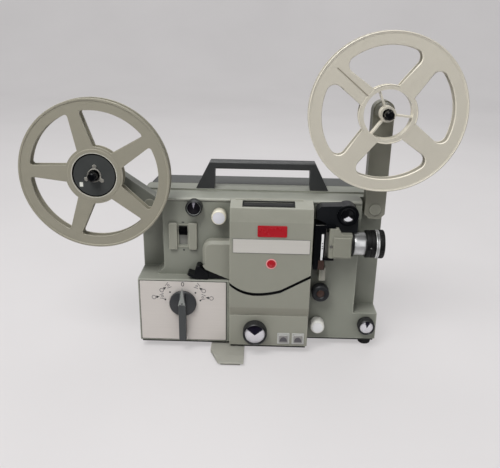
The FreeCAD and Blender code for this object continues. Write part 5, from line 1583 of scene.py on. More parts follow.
@dataclass
class Knob:
    """Round knob on a shaft along Y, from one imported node."""

    node: str
    back: float
    cap: Cap
    cap_radius: float
    slope: float = 16.0
    ribs: int = 48
    # Cap tone and sector tone: a painted reflection, not colours of the cap itself.
    tones: tuple[Rgb, Rgb] = ((222, 220, 224), (22, 18, 34))
    sector: Span = (0.0, 50.0)
    ring: bool = False

    def build(self) -> None:
        """Makes the grip, the cap and what is behind them."""
        low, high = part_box(self.node)
        self.centre = (low + high) / 2
        self.radius = (high.x - low.x) / 2 / MM
        self.front = low.y / MM
        body = NODES.body[self.node]
        NODES.behind(self.node, self.back - 0.1, STEEL_DARK)
        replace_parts(self.grip(body, NODES.slot[self.node]), self.node)
        if self.cap is Cap.CHROME:
            self.spun_cap(body)
        else:
            self.pale_disc(body)

    def grip(self, body: str, slot: str) -> Piece:
        """Turned body, ribbed where the cap is chrome and domed where it isn't.

        Args:
            body: Body that carries it.
            slot: Material slot of the record.

        Returns:
            The finished grip.
        """
        r, f, b, cap = self.radius, self.front, self.back, self.cap_radius
        bench = Bench(self.node + "_grip")
        if self.cap is Cap.CHROME:
            bed = f + cap * math.tan(math.radians(self.slope)) + 1.0
            bench.lathe([(0, bed), (cap, bed), (cap + 0.4, f + 0.6), (cap + 0.9, f + 0.1), (r - 1.0, f + 0.5),
                         (r - 0.2, f + 1.5), (r, f + 2.4), (r, b - 0.7), (r - 0.7, b), (0, b)],
                        self.centre, steps=2 * self.ribs)
            ribbed(bench, 2 * self.ribs, Axis.Y, self.centre, r, 0.35, (f + 2.4, b - 0.7))
            return bench.done(KNOB_GREY, body, slot, angle=40)
        start = cap + 0.3
        side = [(start + (r - start) * math.sin(a), f + 0.6 + 3.6 * (1 - math.cos(a)))
                for a in (0.0, 0.4, 0.8, 1.15, FULL_TURN / 4)]
        bench.lathe([(0, f + 1.0), (cap, f + 1.0), *side, (r, b - 0.7), (r - 0.7, b), (0, b)],
                    self.centre, steps=72)
        if self.cap is Cap.WHITE:
            ribbed(bench, 72, Axis.Y, self.centre, r, 0.3, (f + 4.0, b - 0.7))
        return bench.done(IVORY if self.cap is Cap.IVORY else WHITE_GLOSS, body, slot, angle=50)

    def spun_cap(self, body: str) -> None:
        """Shallow spun cone, in a pale ring where the knob has one.

        Args:
            body: Body that carries it.
        """
        r, f = self.cap_radius - 0.1, self.front
        rise = r * math.tan(math.radians(self.slope))
        y = f + rise
        cone = [(r * k / 10, f + rise * k / 10) for k in range(1, 10)]
        profile = [(0, f + rise * 0.02), *cone, (r - 0.3, y), (r, y + 0.4), (r, y + 1), (0, y + 1)]
        # Painted reflection: the cap's main tone and its sector stand for what the spun metal mirrors.
        main, other = self.tones
        finish = Sectored(self.node + "_face", main, 0.26, centre=tuple(self.centre), other=other,
                          middle=self.sector[0], half=self.sector[1])
        Bench(self.node + "_cap").lathe(profile, self.centre, steps=96).done(finish, body, "steel", angle=25)
        if self.ring:
            ring = along(y, (r - 0.1, 0.5), (r, -0.5), (r + 0.3, -0.7), (r + 0.6, -0.5), (r + 0.6, 0.5))
            Bench(self.node + "_ring").lathe(ring, self.centre, steps=96, closed=True).done(
                POINTER, body, "steel", angle=50)

    def pale_disc(self, body: str) -> None:
        """Slightly crowned disc let into the dome.

        Args:
            body: Body that carries it.
        """
        r, f = self.cap_radius, self.front
        crown = [(r * k / 6, f + 0.5 * (k / 6) ** 2) for k in range(7)]
        finish = DISC_GREY if self.cap is Cap.IVORY else WHITE_DISC
        Bench(self.node + "_disc").lathe([*crown, (r, f + 1.6), (0, f + 1.6)], self.centre).done(
            finish, body, "white_plastic", angle=40)


@dataclass
class Switch:
    """Slide switch between two guards."""

    guard: float = 10.6
    bed_depth: float = 3.3
    ribs: int = 4
    rib_step: float = 2.0

    def build(self) -> None:
        """Makes the guards, the slot's lips, the slider and its bed."""
        low, high = NODES.box("switch_guard")
        x0, x1, z0, z1 = low.x, high.x, low.z, high.z
        middle = (x0 + x1) / 2
        guards = []
        for side, (a, b) in enumerate(((x0, x0 + self.guard), (x1 - self.guard, x1))):
            guard = plate(f"guard_{side}", rounded_outline(a, b, z0, z1, 1.6), low.y, CASE.front + 0.2)
            guards.append(guard.done(COVER, "housing", "cover_paint", 1.3, 30, 4))
        web = frame_ring("switch_web", rectangle(x0 + self.guard, x1 - self.guard, z0 + 2, z1 - 2), 1.6,
                         CASE.front - 0.9, CASE.front + 0.2)
        guards.append(web.done(COVER, "housing", "cover_paint", 0.3, 30))
        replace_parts(joined("switch_guards", guards), "switch_guard")
        NODES.soften("slide_switch", SLIDER, 0.5)
        slider_low, slider_high = NODES.box("slide_switch")
        y = slider_low.y
        for k in range(self.ribs):
            z = slider_high.z - 4.8 - self.rib_step * k
            outline = [(y - 0.1, z - 0.3), (y + 0.6, z - 0.6), (y + 0.6, z + 0.6), (y - 0.1, z + 0.3)]
            prism_x(f"slider_rib_{k}", outline, middle - 4.6, middle + 4.6).done(
                SLIDER, "slider", "black_plastic", 0.15)
        y = CASE.front + self.bed_depth
        bed = rectangle(middle - 5.9, middle + 5.9, z0 - 8, slider_low.z + 1.5)
        plate("switch_bed", bed, y, y + 0.7).done(SLIDER_PALE, "slider", "pale_plastic")
        ink = (CASE.front - 0.06, CASE.front + 0.1)
        marks = [plate("switch_mark_off", rectangle(middle - 1.6, middle + 1.6, z1 - 0.6, z1 + 0.7), *ink),
                 hoop("switch_mark_on", middle + 0.5, z0 - 1.4, (1.3, 1.3), 0.9, *ink)]
        joined("switch_print", [mark.done(DARK_INK, "housing", "housing_paint") for mark in marks])


@dataclass
class Keys:
    """Two square keys in pale frames."""

    frame_width: float = 1.7
    frame_half: Span = (7.7, 7.6)
    pad_half: Span = (5.4, 5.0)
    # Size of the dark half disc painted on each key as the shade in its dish.
    sign: Span = (4.7, 6.4)

    def build(self) -> None:
        """Makes a frame and a key for each node, with a dark half disc on the key as painted shade in its dish.
        """
        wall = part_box("lower_cover")[0].y / MM
        for node, body in (("left_key", "key_left"), ("right_key", "key_right")):
            low, high = NODES.box(node)
            x, z = (low.x + high.x) / 2, (low.z + high.z) / 2
            face = low.y
            NODES.soften(node, KEY_FRAME, 0.5, segments=3)
            (width, height), (out, up) = self.pad_half, self.frame_half
            pad = rounded_outline(x - width, x + width, z - height, z + height, 1.0)
            plate(node + "_pad", pad, face - 0.1, face + 0.6).done(KEY_GREY, body, "pale_plastic", 0.08)
            border = rounded_outline(x - out, x + out, z - up, z + up, 1.0)
            frame_ring(node + "_frame", border, self.frame_width, wall - 0.9, wall + 0.2).done(
                KEY_FRAME, "housing", "white_plastic", 0.35, 30)
            # Painted shade: a dark half disc low on the key, where the dish is in shade.
            dome = [(x + self.sign[0] * across, z - 3.4 + self.sign[1] * rise)
                    for across, rise in arc((0, 0), 1, 0, 180, 16)]
            plate(node + "_sign", dome, face - 0.22, face + 0.1).done(KEY_DISH_SHADE, body, "pale_plastic", 0.1)


# Covers


@dataclass
class Covers:
    """Lamp cover, sound cover, lower cover and exit cover, with what is fixed to them."""

    slot_half: float = 1.15
    trim: float = 1.05
    slot_height: float = 86.0
    name_plate: Rectangle = (4.3, 3.1, 140.6, 158.0)
    badge: Rectangle = (137.8, 173.0, 161.4, 175.6)
    button: Span = (155.3, 126.6)
    vent_middle: float = 46.0
    vent_half: float = 31.5
    vent_depth: Span = (-33.2, -20.6)
    vent_lean: float = 5.2 / 18
    louvres: int = 3

    def build(self) -> None:
        """Builds the covers."""
        for node, paint, width in (("lamp_cover", COVER, 0.7), ("sound_cover", SOUND_COVER, 0.6),
                                   ("lower_cover", LOWER_COVER, 0.6), ("exit_cover", COVER, 1.0)):
            NODES.soften(node, paint, width, segments=3)
        low, high = NODES.box("lamp_cover")
        self.x0, self.x1, self.front = low.x, high.x, low.y
        edge = rectangle(self.x0 - 2.5, self.x0 - 0.3, CASE.base + 0.3, CASE.base + self.slot_height - 0.4)
        plate("block_edge", edge, -30.9, -28.5).done(HOUSING, "housing", "housing_paint", 0.3)
        self.slot_trims()
        self.plates()
        self.vent()
        self.guide()

    def slot_line(self, shift: float) -> list[tuple]:
        """Line of the curved film slot.

        Args:
            shift: How far it is moved up.

        Returns:
            Its (x, z) points from left to right.
        """
        level = CASE.base + self.slot_height + shift
        width = self.x1 - self.x0
        start, low = (self.x0, level + 0.5), (self.x0 + 0.32 * width, level - 12.8)
        rise, end = (self.x0 + 0.64 * width, level - 7.8), (self.x1, level + 12.5)
        dip = (self.x0 + 0.13 * width, (start[1] + low[1]) / 2 - 2.2)
        climb = (self.x0 + 0.48 * width, level - 11.6)
        return through(start, dip, low, 12) + through(low, climb, rise, 10)[1:] + [end]

    def slot_trims(self) -> None:
        """Black lips along both sides of the film slot."""
        for name, side, body in (("upper", 1, "lamp_hood"), ("lower", -1, "housing")):
            near = self.slot_line(side * (self.slot_half - 0.35))
            far = self.slot_line(side * (self.slot_half + self.trim - 0.35))
            lip = plate(f"slot_lip_{name}", near + far[::-1], self.front - 0.35, self.front + 3.2)
            lip.done(GLOSS_BLACK, body, "cover_paint", 0.2)

    def plates(self) -> None:
        """Bare name plate, bare badge and a plain round disc."""
        y = self.front
        left, right, z0, z1 = self.name_plate
        x0, x1, line = self.x0 + left, self.x1 - right, 0.3
        sheet = plate("name_plate", rectangle(x0, x1, z0, z1), y - 0.8, y + 0.1)
        sheet.pick(facing_front).inset(0.9, -0.25)
        sheet.done(PLATE, "lamp_hood", "panel_white", 0.2)
        # Dark line round the plate: its joint with the cover, and a painted edge shadow.
        outer = rectangle(x0 - line, x1 + line, z0 - line, z1 + line)
        frame_ring("name_plate_joint_shadow", outer, 0.35, y - 0.5, y + 0.1).done(GREY_INK_AND_SHADE, "lamp_hood", "panel_white")
        badge = plate("badge_plate", rounded_outline(*self.badge, 1.4), y - 1.0, y + 0.1)
        badge.pick(facing_front).inset(1.1, -0.3)
        badge.done(RED, "lamp_hood", "cover_paint", 0.25)
        x, z = self.button
        disc = along(y, (0, -0.9), (4.6, -0.8), (5.2, -0.5), (5.4, 0.1), (0, 0.1))
        Bench("round_disc").lathe(disc, spot(x, 0, z), steps=40).done(
            RED, "lamp_hood", "cover_paint", angle=40)
        rim = along(y, (5.4, 0.1), (5.4, -0.7), (6.3, -0.7), (6.6, -0.3), (6.6, 0.1))
        Bench("round_rim").lathe(rim, spot(x, 0, z), steps=40, closed=True).done(
            PALE_RED, "lamp_hood", "cover_paint")

    def vent(self) -> None:
        """Dark louvred frame over the lamp cover's air slot."""
        middle = self.x0 + self.vent_middle
        x0, x1 = middle - self.vent_half, middle + self.vent_half
        y0, y1 = self.vent_depth
        bars = []
        for name, a, b, left, right, lift in (
                ("front", y0, y0 + 3.4, x0, x1, 0.5), ("back", y1 - 1.6, y1, x0, x1, 0.5),
                ("left", y0, y1, x0, x0 + 1.6, 0.45), ("right", y0, y1, x1 - 1.6, x1, 0.45)):
            low, high = self.slope(a), self.slope(b)
            outline = [(a, low - 0.5), (b, high - 0.5), (b, high + lift), (a, low + lift)]
            bar = prism_x(f"vent_{name}", outline, left, right)
            bars.append(bar.done(LINING_AND_SHADE, "lamp_hood", "cover_paint", 0.15))
        for k in range(self.louvres):
            y = y0 + 4.4 + 2.3 * k
            level = self.slope(y)
            outline = [(y, level - 3.0), (y + 0.7, level - 3.0), (y + 1.5, level - 0.3),
                       (y + 0.8, level - 0.3)]
            louvre = prism_x(f"vent_louvre_{k}", outline, x0 + 0.5, x1 - 0.5)
            bars.append(louvre.done(BLACK, "lamp_hood", "cover_paint"))
        joined("vent_louvres", bars)

    def slope(self, y: float) -> float:
        """Height of the lamp cover's sloping top."""
        return 195.4 + (y + 36) * self.vent_lean

    def guide(self) -> None:
        """Black exit guide: pointed tip, fin and a tail that thins under the cover's lip."""
        low, high = NODES.box("exit_guide")
        x0, x1, z0 = low.x, high.x, low.z
        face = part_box("exit_cover")[0].y / MM
        head = [(x0 + x, z0 + z) for x, z in (
            (0, 7.4), (2, 8.6), (5, 7.2), (8.6, 6.6), (10.6, 16.4), (12.4, 18.2), (16, 18), (18.4, 15.4),
            (22, 12.6), (26, 9.6), (26, 0.3), (14, 0.3), (7, 1.8), (2.6, 4.2), (0.4, 6.2))]
        tail = [(x0 + 21.0, z0 + 12.4), (x1, z0 + 1.6), (x1, z0), (x0 + 43.0, z0 + 1.7),
                (x0 + 33.0, z0 + 0.8), (x0 + 21.0, z0 + 0.3)]
        pieces = [plate(name, outline, y, high.y).done(GLOSS_BLACK, "housing", "black_plastic", *rounding)
                  for name, outline, y, *rounding in (("guide_head", head, low.y, 0.9, 25, 3),
                                                      ("guide_tail", tail, face + 0.5, 0.2))]
        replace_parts(joined("exit_guide_block", pieces), "exit_guide")
        cover_low, cover_high = NODES.box("exit_cover")
        left, top = cover_low.x + 3.4, cover_high.z - 3.4
        corner = arc((left + 8.6, top - 8.6), 8.6, 90, 180, 10)
        outline = [(x1, z0 + 0.3), (x1, top), *corner, (left, z0 + 20.6), (x0 + 19.4, z0 + 19.4),
                   (x0 + 20.0, z0 + 17.0), (x0 + 23.0, z0 + 13.4)]
        plate("exit_cover_face", outline, face - 0.05, face + 0.3).done(COVER, "housing", "cover_paint")


# Film path and lens


@dataclass
class FilmPath:
    """Gate, guides, sprockets and claw."""

    teeth: int = 16
    gate_depth: float = 24.0
    gate_right: float = 219.9
    strip: Rectangle = (214.6, 217.4, 132.0, 165.5)
    holes: tuple[float, ...] = (147.2, 150.2, 153.6)

    def build(self) -> None:
        """Builds the film path."""
        NODES.soften("gate_block", GLOSS_BLACK, 0.5)
        NODES.soften("feed_guide", FEED_BLACK, 1.0, segments=3)
        NODES.soften("film_chute", COVER, 0.5)
        NODES.dress(STEEL, "film_claw", "pressure_plate")
        NODES.dress(BRASS, "sound_head")
        NODES.dress(BELT, "sprocket_belt", "drive_belt")
        self.gate()
        self.feed()
        self.lower()

    def gate(self) -> None:
        """Bright strip, bright edges and the brown lower part of the gate."""
        x0, x1, y = NODES.box("gate_block")[0].x, self.gate_right, CASE.front - self.gate_depth
        left, right, foot, top = self.strip
        strip = plate("gate_strip", rounded_outline(left, right, foot, top, 0.6), y - 0.5, y + 0.1)
        strip.done(WHITE_DISC, "housing", "steel", 0.15)
        hole = [(0, y - 0.56), (0.75, y - 0.56), (0.75, y - 0.4), (0, y - 0.4)]
        for k, z in enumerate(self.holes):
            Bench(f"strip_hole_{k}").lathe(hole, spot(left + 1.5, 0, z), steps=16).done(
                LINING_AND_SHADE, "housing", "steel")
        plate("gate_edge", rectangle(x1 - 0.4, x1 + 0.1, foot - 1.0, 176.6), y - 0.35, y + 1.0).done(
            STEEL, "housing", "steel", 0.1)
        plate("gate_top_edge", rectangle(x0 + 1, x1, 176.2, 176.8), y - 0.35, y + 1.0).done(
            STEEL, "housing", "steel", 0.1)
        plate("gate_foot", rectangle(x0 + 6.0, x1 - 0.5, 119.5, foot - 0.5), y - 0.3, y + 0.2).done(
            BROWN, "housing", "base_dark", 0.15)
        low, high = NODES.box("film_chute")
        face = rectangle(low.x + 3.2, high.x - 0.2, low.z + 0.4, high.z - 0.4)
        plate("chute_face", face, low.y - 0.4, low.y + 0.1).done(CHUTE, "housing", "pale_plastic", 0.15)

    def toothed(self, name: str, centre: Vector, radius: float, y: float, body: str) -> None:
        """Ring of sprocket teeth.

        Args:
            name: The ring's name.
            centre: A point of the sprocket's axis, in metres.
            radius: Radius that the teeth stand on.
            y: Place of the ring along the axis.
            body: Body that carries it.
        """
        x, z = centre.x / MM + radius - 0.3, centre.z / MM
        corners = ((-0.5, -0.55), (0.5, -0.55), (0.5, 0.55), (-0.5, 0.55))
        tooth = Bench(name).chain([spot(x, y + a, z + b) for a, b in corners], face=True)
        tooth.draw(x=1.3)
        tooth.tidy()
        tip = spot(x + 1.3, y, z)
        tooth.pick(lambda middle, normal: normal.x > 0.9).scale(1, 0.5, 0.5, tip)
        ring = [tooth.done(STEEL, body, "steel")]
        for k in range(1, self.teeth):
            turn = turned(360 * k / self.teeth, centre, Axis.Y)
            ring.append(copied(ring[0], f"{name}_{k}", turn, body))
        joined(name, ring)

    def feed(self) -> None:
        """Feed sprocket with its chrome cap."""
        low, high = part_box("feed_sprocket")
        centre = (low + high) / 2
        f = low.y / MM
        NODES.behind("feed_sprocket", f + 20, STEEL_DARK)
        drum = along(f, (0, 2.2), (7.4, 2.2), (7.8, 2.8), (7.8, 5), (6, 6), (6, 14), (7.8, 15), (7.8, 20),
                     (0, 20))
        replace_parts(Bench("feed_drum").lathe(drum, centre).done(GLOSS_BLACK, "feed", "black_gloss", angle=40),
                    "feed_sprocket")
        cone = [(0.8 * k, f + 0.06 + 0.25 * k) for k in range(1, 10)]
        cap = [(0, f), *cone, (7.8, f + 2.7), (7.8, f + 3.2), (0, f + 3.2)]
        # Painted reflection: the cap is dark, with a bright wedge at the bottom where the cloth below is
        # mirrored.
        finish = Sectored("feed_cap_face", (14, 14, 17), 0.2, centre=tuple(centre), other=(226, 226, 230),
                          middle=180.0, half=52.0)
        Bench("feed_cap").lathe(cap, centre, steps=96).done(finish, "feed", "steel", angle=25)
        self.toothed("feed_teeth", centre, 6.4, f + 10, "feed")
        collar = along(f, (8.6, 2.6), (10.0, 1.9), (12.2, 2.1), (12.9, 3.2), (12.9, 4.2), (8.6, 4.2))
        Bench("feed_collar").lathe(collar, centre, closed=True).done(
            GLOSS_BLACK, "housing", "black_plastic", angle=35)

    def lower(self) -> None:
        """Lower sprocket's hand knob: blue-grey ribbed rim round a brown boss."""
        low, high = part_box("lower_sprocket")
        centre = (low + high) / 2
        f, r = low.y / MM, (high.x - low.x) / 2 / MM
        NODES.behind("lower_sprocket", f + 17, STEEL_DARK)
        rim = along(f, (0, 1.6), (5.0, 1.6), (6.0, 0.4), (6.8, 0), (9.2, 0), (10.4, 0.7), (r, 2.0),
                    (r, 11.4), (r - 0.8, 12.2), (8, 13), (8, 16.8), (0, 16.8))
        bench = Bench("lower_knob").lathe(rim, centre, steps=80)
        ribbed(bench, 80, Axis.Y, centre, r, 0.4, (f + 2.0, f + 11.4))
        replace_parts(bench.done(ROLLER, "lower", "black_gloss", angle=40), "lower_sprocket")
        boss = along(f, (0, 0.5), (2.6, 0.6), (4.4, 1.1), (5.1, 1.7), (0, 1.8))
        Bench("lower_boss").lathe(boss, centre, steps=40).done(BROWN, "lower", "brass", angle=40)
        self.toothed("lower_teeth", centre, 8.0, f + 15, "lower")


@dataclass
class Lens:
    """Lens holder, chrome sleeve, knurled rings and front glass."""

    bore: float = 13.0
    sleeve: float = 13.9
    grip: float = 16.9
    front: float = 17.5

    def build(self) -> None:
        """Builds the lens from the gate outwards."""
        NODES.soften("lens_holder", HOLDER, 0.8, segments=3)
        NODES.dress(LENS_GLASS, "front_lens")
        low, high = NODES.box("lens_barrel")
        self.centre = spot(0, (low.y + high.y) / 2, (low.z + high.z) / 2)
        chrome = Spun("barrel_chrome", (212, 212, 210), 0.24, centre=tuple(self.centre), axis=Axis.X)
        NODES.dress(chrome, "lens_barrel")
        self.face()
        self.rings()

    def ring_chrome(self) -> Banded:
        """Chrome of the narrow rings at the front, with a painted reflection in bands."""
        return Banded("collar_chrome", (228, 228, 228), 0.24, centre=tuple(self.centre), axis=Axis.X,
                      reach=self.front)

    def face(self) -> None:
        """Raised front of the holder with a chamfered border, and its clamp screw."""
        low, high = NODES.box("lens_holder")
        outline = rectangle(low.x + 5.6, high.x - 0.8, low.z + 1.6, low.z + 27.0)
        raised = plate("holder_face", outline, low.y - 1.0, low.y + 0.2)
        raised.pick(facing_front).inset(1.3, 0.7)
        raised.done(HOLDER, "lens_carrier", "cover_paint", 0.3)
        y = low.y
        screw = along(y, (0, -0.8), (1.5, -0.7), (2.0, -0.1), (2.0, 0.1), (0, 0.1))
        Bench("holder_screw").lathe(screw, spot(low.x + 2.8, 0, low.z + 15), steps=24).done(
            STEEL, "lens_carrier", "steel", angle=40)

    def tube(self, name: str, profile: Pairs, finish: Finish, body: str, slot: str, steps: int = 80,
             ribs: tuple = ()) -> Piece:
        """Closed ring turned round the lens axis.

        Args:
            name: The piece's name.
            profile: Pairs of radius and place along the axis.
            finish: What it is dressed in.
            body: Body that carries it.
            slot: Material slot of the record.
            steps: Facets round it.
            ribs: Radius, depth and stretch of each ribbed side.

        Returns:
            The finished ring.
        """
        bench = Bench(name).lathe(profile, self.centre, Axis.X, steps, closed=True)
        for radius, depth, span in ribs:
            ribbed(bench, steps, Axis.X, self.centre, radius, depth, span)
        return bench.done(finish, body, slot, angle=40)

    def rings(self) -> None:
        """Rings from the holder to the front."""
        bore, sleeve, grip, front = self.bore, self.sleeve, self.grip, self.front
        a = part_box("lens_holder")[1].x / MM
        collar = along(a, (bore, 0.1), (15.6, 0.1), (16.2, 0.7), (16.2, 2.6), (15.6, 3.2), (bore, 3.2))
        self.tube("barrel_collar", collar, LENS_BLACK, "lens_carrier", "lens_black")
        tube = along(a, (bore, 3.2), (sleeve - 0.2, 3.4), (sleeve, 4.0), (sleeve, 16.2),
                     (sleeve - 0.4, 16.9), (bore, 16.9))
        # Painted reflection: the sleeve's bands of room light and dark.
        chrome = Banded("sleeve_chrome", (232, 232, 232), 0.22, centre=tuple(self.centre), axis=Axis.X)
        self.tube("sleeve", tube, chrome, "lens_carrier", "lens_chrome")
        z0, z1 = (corner.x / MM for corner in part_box("zoom_ring"))
        ribs = (z0 + 0.7, z0 + 4.6), (z0 + 6.3, z1 - 0.8)
        zoom = [(12.05, z0), (16.0, z0), (grip, z0 + 0.7), (grip, z0 + 4.6), (16.2, z0 + 5.0),
                (16.2, z0 + 5.9), (grip, z0 + 6.3), (grip, z1 - 0.8), (16.2, z1), (12.05, z1)]
        piece = self.tube("zoom_grip", zoom, LENS_BLACK, "zoom", "lens_black", 96,
                          tuple((grip, 0.4, span) for span in ribs))
        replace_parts(piece, "zoom_ring")
        y, z = self.centre.y / MM, self.centre.z / MM
        mark = Bench("zoom_mark").block(spot(z0 + 5.0, y - 16.6, z - 0.5), spot(z0 + 5.9, y - 16.1, z + 0.5))
        mark.done(WHITE_INK, "zoom", "lens_black", 0.1)
        shine = [(16.0, z1 + 0.5), (front - 0.2, z1 + 0.6), (17.45, z1 + 0.9), (17.45, z1 + 1.8),
                 (front - 0.2, z1 + 2.0), (16.0, z1 + 2.1)]
        self.tube("collar_shine", shine, self.ring_chrome(), "lens_carrier", "lens_chrome")
        f0, f1 = (corner.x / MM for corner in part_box("focus_ring"))
        g0 = f0 + 2.2
        focus = [(14.05, g0), (16.9, g0), (front, g0 + 0.6), (front, f1 - 1.2), (16.9, f1 - 0.3),
                 (15.4, f1 - 0.1), (14.05, f1 - 0.6)]
        piece = self.tube("focus_grip", focus, LENS_BLACK, "focus", "lens_black", 64,
                          ((front, 0.55, (g0 + 0.6, f1 - 1.2)),))
        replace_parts(piece, "focus_ring")
        shine = [(14.05, f0), (17.2, f0), (front, f0 + 0.3), (front, g0 - 0.4), (17.2, g0 - 0.1),
                 (14.05, g0 - 0.1)]
        self.tube("focus_shine", shine, self.ring_chrome(), "focus", "lens_chrome")
        NODES.dress(LENS_BLACK, "focus_tube")
        bezel = [(12.0, f1 - 1.1), (13.9, f1 - 1.1), (13.9, f1 - 0.9), (13.0, f1 - 0.7), (12.0, f1 - 1.0)]
        self.tube("front_bezel", bezel, LENS_BLACK, "focus_cell", "lens_black")


# Arms and reels


@dataclass
class Arms:
    """Both folding arms with their pins and spindles."""

    def build(self) -> None:
        """Builds the arms."""
        for node, paint in (("front_arm", ARM_PAINT), ("rear_arm", ARM_PAINT_BACK)):
            NODES.soften(node, paint, 0.9, segments=3)
        NODES.soften("arm_pins", PIN_PAINT, 0.5, segments=3)
        for node in ("front_spindle", "rear_spindle"):
            NODES.soften(node, GLOSS_BLACK, 0.35, segments=3)
            low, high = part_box(node)
            centre = (low + high) / 2
            f = low.y / MM
            tip = along(f, (0, 0.1), (1.8, -0.1), (2.8, 0.3), (3.2, 1.0), (3.2, 2.4), (0, 2.4))
            Bench(node + "_tip").lathe(tip, centre, steps=32).done(
                GLOSS_BLACK, NODES.body[node], NODES.slot[node], angle=50)


@dataclass
class Reel:
    """Film reel with rounded lips and beaded rims."""

    node: str
    colour: Rgb
    rough: float
    lip: float

    def build(self) -> None:
        """Dresses the reel and rounds its edges."""
        low, high = NODES.box(self.node)
        self.middle = ((low.x + high.x) / 2, (low.z + high.z) / 2)
        self.front, self.back, self.radius = low.y, high.y, (high.x - low.x) / 2
        self.centre = spot(self.middle[0], 0, self.middle[1])
        self.body, self.slot = NODES.body[self.node], NODES.slot[self.node]
        self.plastic = ReelPlastic(self.node + "_plastic", self.colour, self.rough, centre=tuple(self.centre))
        NODES.soften(self.node, self.plastic, self.lip, segments=4, angle=40, first=self.window_lips)

    def reach(self, place: Vector) -> float:
        """Distance of a place from the reel's axis, in millimetres."""
        return math.hypot(place.x - self.middle[0], place.z - self.middle[1])

    def turn(self, place: Vector) -> float:
        """Angle of a place round the reel's axis, in degrees."""
        return math.degrees(math.atan2(place.z - self.middle[1], place.x - self.middle[0]))

    def window_lips(self, bench: Bench) -> None:
        """Nothing more than the even rounding."""

    def ring(self, name: str, radius: float, width: float, rise: float, front: bool = True,
             gaps: Span = (0.0, 0.0)) -> None:
        """Low rounded ring on a flange, round the axis.

        Args:
            name: End of the piece's name.
            radius: Radius of the ring's middle.
            width: Width of the ring.
            rise: How far it stands proud.
            front: On the front flange, else on the back one.
            gaps: Angle of one of four gaps and half of its width, in degrees.
        """
        y, out = (self.front, -1) if front else (self.back, 1)
        inner, outer, shoulder = radius - width / 2, radius + width / 2, y + out * rise * 0.7
        profile = [(inner, y - out * 0.2), (inner + 0.2, shoulder), (radius, y + out * rise),
                   (outer - 0.2, shoulder), (outer, y - out * 0.2)]
        bench = Bench(f"{self.node}_{name}").lathe(profile, self.centre, steps=128, closed=True)
        if gaps[1]:
            bench.pick(lambda middle, normal: abs((self.turn(middle) - gaps[0] + 45) % 90 - 45) < gaps[1])
            bpy.ops.mesh.delete(type="FACE")
            bench.whole()
            bpy.ops.mesh.fill_holes(sides=0)
            bench.tidy()
        bench.done(self.plastic, self.body, self.slot, angle=60)


@dataclass
class FrontReel(Reel):
    """Cream reel: groove for the film's end along one spoke."""

    hub: float = 32.4
    spoke: float = 53.0
    groove: Span = (31.0, 77.5)
    groove_turn: float = 140.5
    windows: Span = (33.2, 76.5)

    def build(self) -> None:
        """Adds the groove and the rims."""
        super().build()
        start, end = (polar(self.middle, reach, self.groove_turn) for reach in self.groove)
        outline = stroke(start, end, 0.55, self.groove_turn - 90)
        shade = ReelPlastic("groove_shade", (138, 130, 115), 0.6, centre=tuple(self.centre))
        plate("reel_groove", outline, self.front - 0.05, self.front + 0.3).done(shade, self.body, self.slot)
        self.ring("rim_front", self.radius - 1.0, 1.7, 0.35)
        self.ring("rim_back", self.radius - 1.0, 1.7, 0.35, front=False)
        self.ring("hub_front", self.hub, 1.5, 0.3, gaps=(self.spoke, 19.0))

    def window_lips(self, bench: Bench) -> None:
        """Wide rounding of the windows' front edges, except along the hub."""
        level = self.front + 0.4
        low, high = self.windows
        bench.pick(lambda middle, run: abs(middle.y - level) < 0.1 and abs(run.y) < 0.1
                   and low < self.reach(middle) < high, edges=True, corner=50).round(1.15, 3)


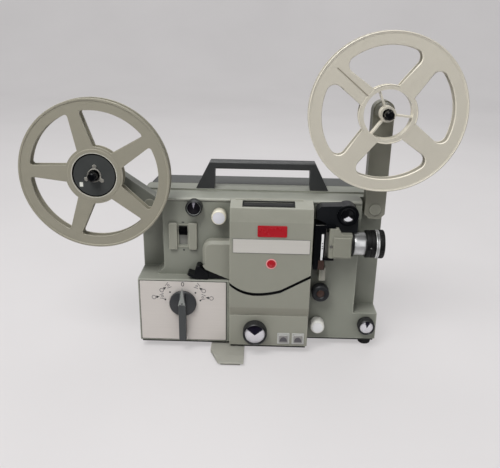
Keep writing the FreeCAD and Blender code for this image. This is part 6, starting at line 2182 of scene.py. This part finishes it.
@dataclass
class RearReel(Reel):
    """Khaki reel: bevelled rim, dark core and the spring claw."""

    prongs: tuple[float, ...] = (85, 205, 325)

    def build(self) -> None:
        """Adds the rims and the core's details."""
        super().build()
        self.ring("rim_front", self.radius - 1.4, 2.4, 0.45)
        self.ring("rim_back", self.radius - 1.4, 2.4, 0.45, front=False)
        NODES.soften("rear_reel_core", CORE, 0.4, segments=3)
        low, high = NODES.box("rear_reel_core")
        y, r = low.y, (high.x - low.x) / 2
        edge = along(y, (r - 1.4, -0.05), (r - 1.3, -0.45), (r - 0.5, -0.5), (r - 0.2, 0.2), (r - 1.4, 0.2))
        self.trim("core_edge", edge, GLOSS_BLACK, "core_grey", 96)
        line = [(r + 0.35, y + 0.6), (r + 0.5, y - 1.05), (r + 0.9, y - 1.05), (r + 1.0, y + 0.6)]
        self.trim("core_line", line, PALE, "reel_khaki", 96)
        for k, turn in enumerate(self.prongs):
            base, tip = polar(self.middle, 6.9, turn), polar(self.middle, 12.4, turn)
            left, right = polar(tip, 2.6, turn + 105), polar(tip, 2.6, turn - 105)
            a, b = polar(base, 1.7, turn + 90), polar(base, 1.7, turn - 90)
            prong = plate(f"claw_prong_{k}", [a, left, polar(tip, 0.9, turn), right, b], y - 0.9, y + 0.2)
            prong.done(CLAW, self.body, "steel", 0.35, 30)
        ring = along(y, (6.6, 0.2), (6.6, -0.7), (7.0, -1.0), (7.8, -1.0), (8.2, -0.6), (8.2, 0.2))
        self.trim("claw_ring", ring, CLAW, "steel", 56, 40)
        x, z = polar(self.middle, 19.5, 215)
        clip = plate("core_clip", rectangle(x - 2.0, x + 2.0, z - 2.6, z + 2.6), y - 0.3, y + 0.2)
        clip.pick(facing_front).inset(0.5, -0.2)
        clip.done(PALE, self.body, "steel", 0.15)

    def trim(self, name: str, profile: Pairs, finish: Finish, slot: str, steps: int,
             angle: float = 35.0) -> None:
        """Closed ring on the core.

        Args:
            name: The piece's name.
            profile: Pairs of radius and place along the axis.
            finish: What it is dressed in.
            slot: Material slot of the record.
            steps: Facets round it.
            angle: Edges sharper than this stay sharp, in degrees.
        """
        ring = Bench(name).lathe(profile, self.centre, steps=steps, closed=True)
        ring.done(finish, self.body, slot, angle=angle)


# Inner works


@dataclass
class Works:
    """What shows behind the lamp cover and through the openings."""

    core: float = 9.0

    def build(self) -> None:
        """Dresses and details the works."""
        for finish, nodes in (
                (STEEL_DARK, ("chassis_plate", "main_shaft", "sound_flywheel")),
                (STEEL, ("light_shutter",)), (IRON, ("motor_stator",)), (BLACK, ("motor_rotor",)),
                (MIRROR, ("lamp_reflector", "fold_mirror")), (LAMP_GLASS, ("lamp_bulb",)),
                (IRON, ("transformer",)), (BOARD, ("amplifier_board",))):
            NODES.dress(finish, *nodes)
        low, high = NODES.box("transformer")
        inset = self.core
        outline = rounded_outline(low.x + inset, high.x - inset, low.z + inset, high.z - inset, 4.0)
        coil = plate("transformer_winding", outline, low.y, low.y + 3.0)
        coil.done(COPPER, "housing", "copper_brown", 1.0, 30, 3)


def main() -> None:
    """Builds the scene piece by piece."""
    logging.basicConfig(level=logging.INFO, format="%(name)s: %(message)s")
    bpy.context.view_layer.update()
    Stage().build()
    Case().build()
    Back().build()
    ControlPanel().build()
    FunctionKnob().build()
    # Chrome caps: tones and sectors are painted reflections; the tone knob's cap is dark with a pale painted
    # glint at the top.
    for knob in (Knob("volume_knob", -39.0, Cap.CHROME, 12.8, 13.0, sector=(0.0, 58.0)),
                 Knob("tone_knob", -14.6, Cap.CHROME, 8.2, 15.0, 36, ((22, 19, 25), (150, 146, 156)),
                      (0.0, 15.0), True),
                 Knob("sync_knob", -14.6, Cap.CHROME, 8.4, 11.0, 36, sector=(8.0, 26.0)),
                 Knob("framing_knob", -14.6, Cap.IVORY, 7.3),
                 Knob("speed_knob", -14.6, Cap.WHITE, 6.6)):
        knob.build()
    Switch().build()
    Keys().build()
    Covers().build()
    FilmPath().build()
    Lens().build()
    Arms().build()
    FrontReel("front_reel", (190, 185, 171), 0.24, 0.4).build()
    RearReel("rear_reel", (143, 139, 124), 0.32, 0.5).build()
    Works().build()
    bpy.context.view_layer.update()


if __name__ == "__main__":
    main()
